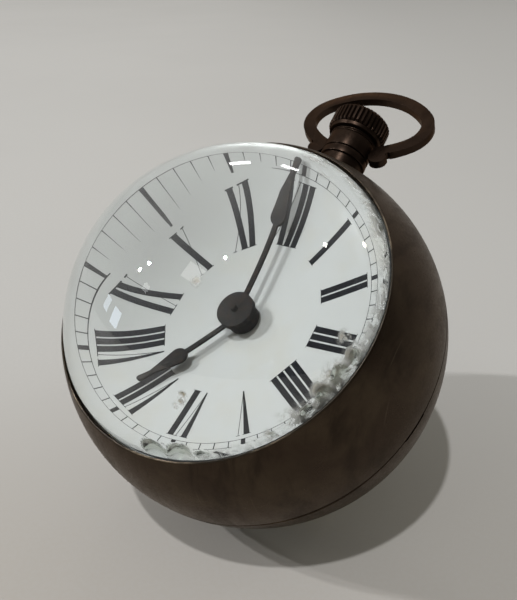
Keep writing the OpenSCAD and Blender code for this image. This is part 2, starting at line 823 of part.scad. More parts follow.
// The flat stamped bow: an oval band, open at the neck, with a lobed foot at each side
module bow_plan() {
    difference() {
        union() {
            translate([0, bow_mid]) difference() {
                oval(bow_w, bow_h, bow_end_r);
                oval(bow_w - 2 * bow_band, bow_h - 2 * bow_band, bow_end_r - bow_band);
            }
            for (s = [-1, 1]) {
                translate([s * lobe_x, -lobe_drop]) circle(r = lobe_r);
                translate([s * lobe_x - lobe_r, -lobe_drop]) square([2 * lobe_r, 1.2 * lobe_r]);
            }
        }
        translate([-foot_x, -bow_h]) square([2 * foot_x, bow_mid + bow_h / 2 + bow_band + 1]);
        for (s = [-1, 1]) {
            translate([s * (lobe_x + lobe_r), lobe_drop]) circle(r = nick_r);
        }
    }
}

module bow() {
    color(dark_bronze) stand() translate([0, pivot_s, 0]) rotate([-bow_lean, 0, 0]) difference() {
        translate([0, 0, -bow_t / 2]) linear_extrude(bow_t) bow_plan();
        for (s = [-1, 1]) {
            translate([s * (foot_x - 1), 0, 0]) rotate([0, s * 90, 0])
                cylinder(r = pin_r + pivot_play, h = lobe_x + 2 - foot_x);
        }
    }
}

module setting_sleeve() {
    color(steel) stand() to_twelve() difference() {
        translate([0, 0, ball_r + 1]) cylinder(r = neck_bore_r - 0.08, h = 7);
        translate([0, 0, ball_r]) cylinder(r = stem_r + 0.06, h = 9);
    }
}

// The crown: straight flutes round a chamfered drum with a gently domed top
module crown() {
    ridge = [for (i = [0 : flutes - 1], k = [0 : 3])
        polar(crown_r - (k > 1 ? flute_h : 0), (i + [-0.2, 0.2, 0.36, 0.64][k]) * 360 / flutes)];
    color(dark_bronze) stand() to_twelve() difference() {
        union() {
            intersection() {
                translate([0, 0, crown_s]) linear_extrude(crown_h + 1) polygon(ridge);
                rotate_extrude() polygon([[0, crown_s], [crown_r - crown_edge, crown_s],
                    [crown_r, crown_s + crown_edge], [crown_r, crown_s + crown_h - crown_edge],
                    [crown_r - crown_edge, crown_s + crown_h], [0, crown_s + crown_h]]);
                translate([0, 0, crown_s + crown_h - crown_dome_r]) sphere(r = crown_dome_r);
            }
            translate([0, 0, crown_s - crown_ring_h]) cylinder(r = crown_ring_r, h = crown_ring_h + cut);
        }
        translate([0, 0, crown_s - crown_ring_h - cut])
            cylinder(r = stem_r + 0.01, h = crown_ring_h + cut + crown_bore_h);
    }
}

module winding_stem() {
    color(steel) stand() to_twelve() {
        translate([0, 0, stem_in]) cylinder(r = stem_r, h = crown_s + crown_bore_h - 0.1 - stem_in);
        translate([0, 0, stem_pinion_s]) linear_extrude(stem_pinion_h)
            polygon(gear_points(stem_pinion_teeth, 2 * stem_pinion_r / (stem_pinion_teeth + 2 * tooth_add)));
    }
}

front_case();
front_glass();
movement_ring();
dog_screws();
dial();
main_plate();
train_plate();
plate_screws();
pallet_cock();
pallet_lever();
balance_cock();
click();
neck();
bow_pins();
back_case();
rear_glass();
rear_ring();
bow();
setting_sleeve();
crown();
winding_stem();
minute_hand();
cannon_pinion();
centre_wheel();
hour_hand();
hour_wheel();
minute_wheel();
barrel();
ratchet_wheel();
crown_wheel();
third_wheel();
fourth_wheel();
escape_wheel();
balance_wheel();
hairspring();
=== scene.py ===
"""Looks of a ball desk clock: bronze sphere, thick domed glass over an enamel dial, neck, crown and bow."""

import json
from math import atan2, cos, pi, radians, sin, sqrt, tan, tau

import bmesh
import bpy
from bpy.props import FloatProperty, FloatVectorProperty, IntProperty, PointerProperty
from mathutils import Matrix, Vector


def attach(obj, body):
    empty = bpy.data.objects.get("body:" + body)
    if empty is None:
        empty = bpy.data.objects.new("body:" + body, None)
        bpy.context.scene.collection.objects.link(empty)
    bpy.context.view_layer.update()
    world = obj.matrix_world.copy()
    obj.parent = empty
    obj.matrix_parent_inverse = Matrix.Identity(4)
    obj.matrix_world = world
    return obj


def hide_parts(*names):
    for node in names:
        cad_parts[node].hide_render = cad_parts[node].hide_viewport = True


bl_info = {
    "name": "Ball desk clock",
    "version": (1, 0, 0),
    "blender": (4, 5, 0),
    "location": "3D View > Sidebar > Clock",
    "description": "Dresses the frame of a ball desk clock with its finished pieces",
    "category": "Object",
}

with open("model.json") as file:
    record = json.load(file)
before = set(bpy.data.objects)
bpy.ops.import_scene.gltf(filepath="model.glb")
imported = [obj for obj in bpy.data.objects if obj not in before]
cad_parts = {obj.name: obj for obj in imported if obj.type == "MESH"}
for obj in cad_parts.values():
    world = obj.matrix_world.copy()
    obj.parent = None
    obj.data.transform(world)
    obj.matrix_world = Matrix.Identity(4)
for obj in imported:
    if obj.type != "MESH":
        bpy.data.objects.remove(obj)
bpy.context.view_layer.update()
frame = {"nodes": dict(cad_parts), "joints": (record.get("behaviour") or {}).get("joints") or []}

# Pieces are modelled in millimetres about the middle of the ball: the dial faces +Z, and twelve o'clock is
# towards +Y. The places turn and scale them into the frame.
MM = 0.001
JOINTS = {joint["name"]: joint for joint in frame["joints"]}
MIDDLE = Vector(JOINTS["crown_turn"]["pos_m"])
TWELVE = Vector(JOINTS["crown_turn"]["axis"])
FACING = -Vector(JOINTS["minute_turn"]["axis"])
ACROSS = TWELVE.cross(FACING)
CLOCK = Matrix.Translation(MIDDLE) @ Matrix((ACROSS, TWELVE, FACING)).transposed().to_4x4()
PLACE = CLOCK @ Matrix.Scale(MM, 4)
BACK_PLACE = PLACE @ Matrix.Rotation(pi, 4, "Y")
PENDANT_PLACE = PLACE @ Matrix.Rotation(-pi / 2, 4, "X")

# The photograph: its size, the focal length in pixels, and where the camera stands
PHOTO_H = 600
FOCAL_PX = 668.8
SENSOR_MM = 36.0
CAMERA_FROM_BALL = Vector((0.0569, -0.0813, 0.0584))
CAMERA_BACKWARD = Vector((0.503, -0.728, 0.465))
CAMERA_RIGHT = Vector((0.823, 0.569, 0.0))
BEHIND = Vector((-CAMERA_BACKWARD.x, -CAMERA_BACKWARD.y, 0)).normalized()


# Property groups: the sizes and colours that a user would change

def length(name, description, mm):
    """A length property that is given in millimetres."""
    return FloatProperty(name=name, description=description, default=mm * MM, min=0.0, unit="LENGTH",
                         precision=5)


def colour(name, description, value):
    """A colour property."""
    return FloatVectorProperty(name=name, description=description, default=value, subtype="COLOR", size=3,
                               min=0.0, max=1.0)


def strength(name, description, value):
    """A property for the strength of a light."""
    return FloatProperty(name=name, description=description, default=value, min=0.0)


class ClockSizes(bpy.types.PropertyGroup):
    """Sizes of the clock's pieces."""
    ball_d: length("Ball", "Outer diameter of the ball", 64.0)
    wall: length("Wall", "Thickness of the spun shell", 1.2)
    lip_d: length("Opening", "Diameter of the front and back openings", 54.0)
    lip_t: length("Lip", "Width of the lip round an opening", 0.25)
    spigot_h: length("Spigot", "Height of the spigot that the back half fits over", 1.6)
    nail_w: length("Nail notch", "Width of the thumb nail notch on the seam", 5.0)
    glass_r: length("Glass radius", "Radius of curvature of the domed glasses", 30.2)
    glass_d: length("Glass edge", "Diameter of a glass at the lip", 53.0)
    flange_d: length("Glass flange", "Diameter of a glass behind the lip", 55.0)
    hollow_d: length("Hollow", "Diameter of the hollow ground into the back of a glass", 45.4)
    hollow_h: length("Hollow depth", "Depth of that hollow", 4.9)
    dial_d: length("Dial", "Diameter of the dial", 52.0)
    dial_t: length("Dial thickness", "Thickness of the enamelled dial", 0.8)
    dial_z: length("Dial height", "Height of the dial's face above the middle of the ball", 8.6)
    track_d: length("Minute track", "Outer diameter of the minute track", 36.6)
    track_w: length("Minute track width", "Distance between the two lines of the minute track", 1.0)
    numeral_r: length("Numeral foot", "Distance of the numerals' feet from the middle of the dial", 10.1)
    numeral_h: length("Numeral height", "Height of the numerals", 6.55)
    stroke: length("Thick stroke", "Width of a numeral's thick stroke", 0.78)
    hairline: length("Hairline", "Width of a numeral's hairline", 0.06)
    neck_d: length("Neck", "Diameter of the neck", 8.9)
    crown_d: length("Crown", "Diameter of the crown over its flutes", 11.1)
    crown_h: length("Crown height", "Height of the crown's fluted part", 3.8)
    flute_h: length("Flute depth", "Depth of the crown's flutes", 0.46)
    flutes: IntProperty(name="Flutes", description="Number of flutes round the crown", default=40, min=8,
                        max=90)


class ClockColours(bpy.types.PropertyGroup):
    """Base colours of the clock's finishes."""
    patina: colour("Patina", "Dark brown patina of the ball", (0.040, 0.0265, 0.0175))
    patina_worn: colour("Worn patina", "Olive brown where the patina is rubbed", (0.060, 0.043, 0.027))
    pendant: colour("Pendant", "Darkened brass of the neck, crown and bow", (0.030, 0.019, 0.0135))
    bare_edge: colour("Bare edge", "Bare metal on rubbed edges", (0.22, 0.175, 0.125))
    glass: colour("Glass", "Tint of the glass", (0.965, 0.985, 0.97))
    dirt: colour("Rim dirt", "Old dirt and crushed glass at the rim", (0.30, 0.268, 0.20))
    enamel: colour("Enamel", "Pale enamel of the dial", (0.64, 0.632, 0.65))
    ink: colour("Ink", "Black of the numerals and the minute track", (0.0012, 0.0015, 0.0040))
    hands: colour("Hands", "Browned steel of the hands", (0.0045, 0.0038, 0.0042))
    gilt: colour("Gilding", "Matt gilding of the movement", (0.74, 0.53, 0.23))
    steel: colour("Steel", "Polished steel of the movement", (0.56, 0.57, 0.59))
    floor: colour("Floor", "Pale table top", (0.520, 0.505, 0.485))


class ClockStage(bpy.types.PropertyGroup):
    """Light on the clock."""
    ambient: strength("Ambient", "Strength of the light from all round", 0.31)
    high_lamp: strength("High lamp", "Strength of the lamp above the front", 1.14)
    side_lamp: strength("Side lamp", "Strength of the lamp at the left", 1.20)


def in_mm(sizes):
    """The sizes as plain numbers in millimetres, by name."""
    found = {}
    for name in ClockSizes.__annotations__:
        value = getattr(sizes, name)
        found[name] = value if isinstance(value, int) else value / MM
    return found


# Finishes

class Patterns:
    """The nodes of one material or world, and the patterns made from a coordinate."""

    def __init__(self, tree, coordinate):
        self.tree = tree
        self.tree.nodes.clear()
        self.where = self.node("ShaderNodeTexCoord").outputs[coordinate]

    def put(self, value, socket):
        """Sets an input, or links it if the value is another node's output."""
        if isinstance(value, bpy.types.NodeSocket):
            self.tree.links.new(value, socket)
        elif socket.type == "RGBA":
            socket.default_value = (*value, 1.0)
        else:
            socket.default_value = value

    def set(self, node, sockets):
        """Sets or links a node's inputs by name. Underscores in a name stand for spaces."""
        for name, value in sockets.items():
            self.put(value, node.inputs[name.replace("_", " ")])

    def node(self, kind, settings=None, **sockets):
        """A new node with its settings and inputs."""
        made = self.tree.nodes.new(kind)
        for name, value in (settings or {}).items():
            setattr(made, name, value)
        self.set(made, sockets)
        return made

    def noise(self, scale, detail=3.0, roughness=0.55, warp=0.0, where=None):
        """A cloudy pattern from 0 to 1, scale to the metre."""
        return self.node("ShaderNodeTexNoise", Vector=where or self.where, Scale=scale, Detail=detail,
                         Roughness=roughness, Distortion=warp).outputs[0]

    def cells(self, scale):
        """How far a point lies from the middle of its cell."""
        return self.node("ShaderNodeTexVoronoi", Vector=self.where, Scale=scale).outputs["Distance"]

    def along(self, other, operation="DOT_PRODUCT"):
        """How far a point lies in a direction, or with DISTANCE, from a spot."""
        found = self.node("ShaderNodeVectorMath", {"operation": operation})
        self.put(self.where, found.inputs[0])
        self.put(other, found.inputs[1])
        return found.outputs["Value"]

    def between(self, value, low, high, to_low, to_high):
        """A value between two limits, spread smoothly over two others."""
        found = self.node("ShaderNodeMapRange", {"interpolation_type": "SMOOTHSTEP"}, Value=value)
        for name, number in zip(("From Min", "From Max", "To Min", "To Max"), (low, high, to_low, to_high)):
            found.inputs[name].default_value = number
        return found.outputs[0]

    def blend(self, share, first, second):
        """One colour where share is 0, the other where it is 1."""
        found = self.node("ShaderNodeMix", {"data_type": "RGBA"})
        for value, k in ((share, 0), (first, 6), (second, 7)):
            self.put(value, found.inputs[k])
        return found.outputs[2]

    def math(self, first, second, operation="ADD"):
        """Two values added, or worked on by another operation."""
        found = self.node("ShaderNodeMath", {"operation": operation})
        for value, k in ((first, 0), (second, 1)):
            self.put(value, found.inputs[k])
        return found.outputs[0]


class Finish(Patterns):
    """One procedural material: a Principled shader and the patterns that feed it, on Object coordinates."""

    def __init__(self, name, **sockets):
        self.material = bpy.data.materials.new(name)
        self.material.use_nodes = True
        super().__init__(self.material.node_tree, "Object")
        self.shader = self.node("ShaderNodeBsdfPrincipled", **sockets)
        self.out = self.node("ShaderNodeOutputMaterial", Surface=self.shader.outputs[0])

    def use(self, **sockets):
        """Sets or links inputs of the Principled shader."""
        self.set(self.shader, sockets)

    def stretched(self, scale, turn):
        """The coordinates turned, and stretched by a different scale each way."""
        return self.node("ShaderNodeMapping", Vector=self.where, Scale=scale, Rotation=turn).outputs[0]

    def attribute(self, name):
        """A mark that the mesh carries."""
        return self.node("ShaderNodeAttribute", {"attribute_name": name}).outputs["Fac"]

    def bump(self, height, strong, depth):
        """Bumps of a height pattern, of a depth in millimetres."""
        made = self.node("ShaderNodeBump", Height=height, Strength=strong, Distance=depth * MM)
        self.use(Normal=made.outputs[0])


def shaded(tone, *parts):
    """A colour times one number, or times one number each for red, green and blue."""
    return tuple(part * value for part, value in zip(parts * 3, tone))


def patinated(name, base, worn, edge, sheen):
    """Dark patinated metal: soft olive clouds, fine streaks and grain, and a few hair scratches."""
    finish = Finish(name, Metallic=0.85, IOR=1.5, Specular_Tint=sheen)
    clouds = finish.noise(85.0, 4.0, 0.6, 0.6)
    streaks = finish.noise(420.0, 4.0, 0.6, 0.4, finish.stretched((1.0, 0.25, 0.25), (0.3, 0.2, 0.9)))
    grain = finish.noise(2600.0, 3.0)
    tone = finish.blend(finish.between(clouds, 0.38, 0.70, 0.0, 1.0), base, worn)
    dull = shaded(base, 0.6)
    tone = finish.blend(finish.between(streaks, 0.48, 0.72, 0.0, 0.8), tone, dull)
    hairs = finish.noise(2400.0, 1.0, 0.5, 0.0, finish.stretched((1.0, 0.018, 0.018), (0.4, 0.9, 0.3)))
    scratch = finish.between(hairs, 0.74, 0.78, 0.0, 0.14)
    finish.use(Base_Color=finish.blend(scratch, tone, edge),
               Roughness=finish.between(finish.math(streaks, grain), 0.70, 1.30, 0.27, 0.42))
    finish.bump(finish.math(grain, streaks), 0.12, 0.012)
    return finish


def bare_metal(name, base):
    """A worn edge: rubbed bare in places, dark between them."""
    finish = Finish(name, Metallic=0.8)
    places = finish.noise(95.0, 2.0)
    rubbed = finish.noise(900.0, 3.0)
    dark = shaded(base, 0.14)
    share = finish.math(finish.between(places, 0.50, 0.62, 0.0, 1.0),
                        finish.between(rubbed, 0.35, 0.6, 0.3, 1.0), "MULTIPLY")
    finish.use(Base_Color=finish.blend(share, dark, base),
               Roughness=finish.between(rubbed, 0.3, 0.7, 0.5, 0.32))
    return finish


def clear_to_lamps(finish, tint):
    """Lets lamp light pass straight through a glass, so that what lies behind it is lit without noise."""
    passing = finish.node("ShaderNodeBsdfTransparent", Color=tint)
    path = finish.node("ShaderNodeLightPath").outputs
    from_lamps = finish.math(path["Is Shadow Ray"], path["Is Diffuse Ray"], "MAXIMUM")
    both = finish.node("ShaderNodeMixShader")
    for value, socket in zip((from_lamps, finish.shader.outputs[0], passing.outputs[0]), both.inputs):
        finish.put(value, socket)
    finish.put(both.outputs[0], finish.out.inputs["Surface"])


def clear_glass(name, tint, dirt):
    """Thick clear glass: polished, with shell ripples in its chips, which are tinted dark as painted shade,
    and old dirt where the mesh is marked.
    """
    finish = Finish(name, Transmission_Weight=1.0, IOR=1.6)
    chipped = finish.attribute("chipped")
    mottle = finish.noise(480.0, 5.0, 0.62, 0.8)
    patchy = finish.between(mottle, 0.36, 0.58, 0.12, 1.0)
    caked = finish.between(mottle, 0.38, 0.56, 0.25, 1.0)
    black = finish.math(finish.attribute("black"), caked, "MULTIPLY")
    soiled = finish.math(finish.math(finish.attribute("haze"), patchy, "MULTIPLY"), black, "MAXIMUM")
    grime = finish.noise(1300.0, 4.0, 0.6)
    film = finish.blend(finish.between(grime, 0.44, 0.62, 0.0, 0.8), dirt, shaded(dirt, 0.22))
    film = finish.blend(black, film, shaded(dirt, 0.07))
    matt = finish.math(soiled, finish.math(chipped, 0.22, "MULTIPLY"), "MAXIMUM")
    # Painted shade: chipped glass is tinted dark, standing in for the dark lip and metal seen through the
    # chips
    clear = finish.blend(chipped, tint, shaded(tint, 0.34, 0.37, 0.31))
    finish.use(Base_Color=finish.blend(soiled, clear, film),
               Roughness=finish.between(matt, 0.0, 1.0, 0.0, 0.45),
               Transmission_Weight=finish.between(soiled, 0.05, 0.9, 1.0, 0.12))
    ripples = finish.math(finish.math(finish.attribute("shell"), 5.5, "MULTIPLY"), 0.0, "SINE")
    finish.bump(finish.math(chipped, ripples, "MULTIPLY"), 0.8, 0.03)
    clear_to_lamps(finish, tint)
    return finish


def ground_glass(name, tint):
    """The ground edge of a glass: matt, with a fine grit, and made nearly black as painted shade of the lip's
    seat.
    """
    finish = Finish(name, Transmission_Weight=0.2, IOR=1.6)
    grit = finish.noise(3000.0, 3.0)
    # Painted shade: the ground edge is nearly black, for the shade under the lip
    finish.use(Base_Color=finish.blend(grit, shaded(tint, 0.02), shaded(tint, 0.10)),
               Roughness=finish.between(grit, 0.2, 0.8, 0.45, 0.75))
    finish.bump(grit, 0.4, 0.02)
    clear_to_lamps(finish, tint)
    return finish


def fired_enamel(name, base):
    """Pale glossy enamel with faint clouds and specks; painted shade makes it darker towards ten o'clock and
    round its outer ring.
    """
    finish = Finish(name, IOR=1.5)
    clouds = finish.noise(180.0, 4.0)
    specks = finish.cells(700.0)
    warm = shaded(base, 0.97, 0.95, 0.91)
    tone = finish.blend(finish.between(clouds, 0.45, 0.70, 0.0, 1.0), base, warm)
    # Painted shade: darker towards ten o'clock, where the domed glass bends the lamp light away from the dial
    way = (0.45 * TWELVE - 0.9 * ACROSS).normalized()
    middle = MIDDLE.dot(way)
    painted_dome_shade = finish.between(finish.along(way), middle - 0.002, middle + 0.020, 0.0, 1.0)
    tone = finish.blend(painted_dome_shade, tone, shaded(base, 0.73, 0.725, 0.71))
    # Painted shade: the outer ring of the dial is darker, where the lip's shadow falls
    painted_lip_shade = finish.between(finish.along(MIDDLE, "DISTANCE"), 0.0200, 0.0262, 0.0, 1.0)
    tone = finish.blend(painted_lip_shade, tone, shaded(base, 0.74, 0.765, 0.73))
    stain = shaded(base, 0.45)
    finish.use(Base_Color=finish.blend(finish.between(specks, 0.02, 0.06, 0.5, 0.0), tone, stain),
               Roughness=finish.between(clouds, 0.3, 0.7, 0.12, 0.22))
    finish.bump(clouds, 0.1, 0.05)
    return finish


def black_ink(name, base):
    """Fired black ink, a little worn."""
    finish = Finish(name, Specular_IOR_Level=0.05)
    wear = finish.noise(2200.0, 4.0)
    faded = tuple(part + 0.005 for part in base)
    finish.use(Base_Color=finish.blend(finish.between(wear, 0.50, 0.68, 0.0, 1.0), base, faded),
               Roughness=finish.between(wear, 0.3, 0.7, 0.40, 0.60))
    return finish


def browned_steel(name, base):
    """Steel hands, browned with age and spotted with rust."""
    finish = Finish(name, Specular_IOR_Level=0.06)
    spots = finish.noise(1700.0, 5.0, 0.7, 0.5)
    rust = shaded(base, 4.8, 3.4, 2.2)
    finish.use(Base_Color=finish.blend(finish.between(spots, 0.46, 0.64, 0.0, 1.0), base, rust),
               Roughness=finish.between(spots, 0.35, 0.65, 0.42, 0.65))
    finish.bump(spots, 0.35, 0.04)
    return finish


def grained_metal(name, base, fine, smooth, rough):
    """Metal of the movement: a fine grain and a slow change of tone."""
    finish = Finish(name, Metallic=1.0)
    grain = finish.noise(fine, 3.0)
    clouds = finish.noise(220.0, 3.0)
    dull = shaded(base, 0.68)
    finish.use(Base_Color=finish.blend(finish.between(clouds, 0.35, 0.70, 0.0, 0.8), base, dull),
               Roughness=finish.between(grain, 0.3, 0.7, smooth, rough))
    finish.bump(grain, 0.2, 0.01)
    return finish


def table_top(name, base):
    """Plain pale table top, very finely mottled; painted shade makes it a little darker at the near side and
    the right.
    """
    finish = Finish(name, Roughness=0.6, Specular_IOR_Level=0.2)
    clouds = finish.noise(5.0, 3.0)
    grain = finish.noise(1200.0, 2.0)
    lighter = shaded(base, 1.03)
    tone = finish.blend(finish.between(clouds, 0.35, 0.65, 0.0, 1.0), base, lighter)
    # Painted shade: darker towards the near side, where the camera keeps light off the table
    near = finish.between(finish.along(BEHIND), -0.035, 0.05, 1.0, 0.0)
    tone = finish.blend(near, tone, shaded(base, 0.85, 0.81, 0.765))
    # Painted shade: darker towards the right, away from the side lamp
    right = finish.between(finish.along(CAMERA_RIGHT), -0.12, 0.25, 0.0, 1.0)
    tone = finish.blend(right, tone, shaded(base, 0.86))
    finish.use(Base_Color=finish.blend(finish.between(grain, 0.35, 0.65, 0.0, 0.2), tone,
                                       shaded(base, 0.9)))
    return finish


FINISHES = {}


def make_finishes(colours):
    """Makes every finish once, from the chosen colours."""
    tone = {name: tuple(getattr(colours, name)) for name in ClockColours.__annotations__}
    made = (patinated("patinated_bronze", tone["patina"], tone["patina_worn"], tone["bare_edge"],
                      (0.76, 0.70, 0.65)),
            patinated("darkened_brass", tone["pendant"], shaded(tone["pendant"], 1.5),
                      tone["bare_edge"], (0.55, 0.45, 0.38)),
            bare_metal("bare_bronze", tone["bare_edge"]),
            clear_glass("clear_glass", tone["glass"], tone["dirt"]),
            ground_glass("ground_glass", tone["glass"]),
            fired_enamel("fired_enamel", tone["enamel"]),
            black_ink("black_ink", tone["ink"]),
            browned_steel("browned_steel", tone["hands"]),
            grained_metal("matt_gilding", tone["gilt"], 5000.0, 0.26, 0.40),
            grained_metal("polished_steel", tone["steel"], 3500.0, 0.14, 0.28),
            table_top("table_top", tone["floor"]))
    FINISHES.update({finish.material.name: finish.material for finish in made})


# Modelling helpers

def degrees_of(height, radius):
    """Angle in degrees at which a circle of a radius has risen to a height."""
    return atan2(height, sqrt(radius ** 2 - height ** 2)) * 180 / pi


def clock_angle(x, y):
    """Angle in degrees from twelve o'clock, the way that the hands turn."""
    return atan2(x, y) * 180 / pi % 360


def arc(centre, radius, start, end, count):
    """Points of an arc about a centre, between two angles in degrees."""
    turns = [radians(start + (end - start) * k / count) for k in range(count + 1)]
    return [(centre[0] + radius * cos(a), centre[1] + radius * sin(a)) for a in turns]


def eased(corners, count=4):
    """An outline whose corners are rounded: each corner is (x, y), or (x, y, radius)."""
    points = []
    for k, (x, y, *radius) in enumerate(corners):
        if not radius:
            points.append((x, y))
            continue
        here = Vector((x, y))
        before = (Vector(corners[k - 1][:2]) - here).normalized()
        after = (Vector(corners[(k + 1) % len(corners)][:2]) - here).normalized()
        half = before.angle(after) / 2
        centre = here + (before + after).normalized() * radius[0] / sin(half)
        ends = [here + way * radius[0] / tan(half) - centre for way in (before, after)]
        start, stop = (atan2(end.y, end.x) for end in ends)
        sweep = (stop - start + pi) % tau - pi
        points += [(centre.x + radius[0] * cos(start + sweep * i / count),
                    centre.y + radius[0] * sin(start + sweep * i / count)) for i in range(count + 1)]
    return points


def turned(profile, steps, loop=False):
    """A turned piece: a profile of (radius, height) points spun about Z. A loop makes a hollow ring."""
    bm = bmesh.new()
    verts = [bm.verts.new((r, 0, z)) for r, z in profile]
    pairs = list(zip(verts, verts[1:])) + ([(verts[-1], verts[0])] if loop else [])
    edges = [bm.edges.new(pair) for pair in pairs]
    bmesh.ops.spin(bm, geom=verts + edges, axis=(0, 0, 1), cent=(0, 0, 0), dvec=(0, 0, 0), angle=tau,
                   steps=steps, use_merge=True, use_normal_flip=False, use_duplicate=False)
    bmesh.ops.remove_doubles(bm, verts=bm.verts, dist=1e-4)
    bmesh.ops.recalc_face_normals(bm, faces=bm.faces)
    return bm


def piece(bm, name, body, finishes, place=PLACE, stands_for=(), sharp=32.0):
    """Puts a finished bmesh into the scene as one piece that rides on a body."""
    bm.transform(place)
    mesh = bpy.data.meshes.new(name)
    bm.to_mesh(mesh)
    bm.free()
    mesh.shade_smooth()
    mesh.set_sharp_from_angle(angle=radians(sharp))
    made = bpy.data.objects.new(name, mesh)
    bpy.context.scene.collection.objects.link(made)
    for finish in finishes:
        mesh.materials.append(FINISHES[finish])
    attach(made, body)
    if stands_for:
        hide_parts(*stands_for)
    return made


def cut_flat(bm, spot, way, near):
    """Cuts off what lies beyond a plane, and closes the cut. Points as near as that count as on the plane."""
    cut = bmesh.ops.bisect_plane(bm, geom=bm.verts[:] + bm.edges[:] + bm.faces[:], dist=near, plane_co=spot,
                                 plane_no=way, clear_outer=True)
    rim = [part for part in cut["geom_cut"] if isinstance(part, bmesh.types.BMEdge)]
    bmesh.ops.holes_fill(bm, edges=rim, sides=0)


def cut_away(made, cutters):
    """Cuts solids, given as bmeshes in metres, out of a piece."""
    tools = []
    for k, cutter in enumerate(cutters):
        mesh = bpy.data.meshes.new(f"cutter_{k}")
        cutter.to_mesh(mesh)
        cutter.free()
        tool = bpy.data.objects.new(f"cutter_{k}", mesh)
        bpy.context.scene.collection.objects.link(tool)
        cut = made.modifiers.new(f"cut_{k}", "BOOLEAN")
        cut.object = tool
        cut.operation = "DIFFERENCE"
        cut.solver = "EXACT"
        tools.append(tool)
    graph = bpy.context.evaluated_depsgraph_get()
    old = made.data
    made.data = bpy.data.meshes.new_from_object(made.evaluated_get(graph))
    made.data.name = made.name
    made.modifiers.clear()
    bpy.data.meshes.remove(old)
    for tool in tools:
        mesh = tool.data
        bpy.data.objects.remove(tool)
        bpy.data.meshes.remove(mesh)


def softened(node, width, body, finish, segments=2):
    """A copy of a CAD node with its sharp edges broken, which stands for it. Width is in millimetres."""
    sharp = 40.0
    bm = bmesh.new()
    bm.from_mesh(frame["nodes"][node].data)
    bmesh.ops.remove_doubles(bm, verts=bm.verts, dist=1e-7)
    bmesh.ops.dissolve_limit(bm, angle_limit=radians(0.5), verts=bm.verts, edges=bm.edges)
    edges = [e for e in bm.edges if len(e.link_faces) == 2 and e.calc_face_angle() > radians(sharp)]
    bmesh.ops.bevel(bm, geom=edges, offset=width * MM, offset_type="OFFSET", affect="EDGES",
                    segments=segments, profile=0.5, material=-1, clamp_overlap=True)
    return piece(bm, f"{node}_piece", body, [finish], Matrix.Identity(4), [node], sharp)


# Pieces

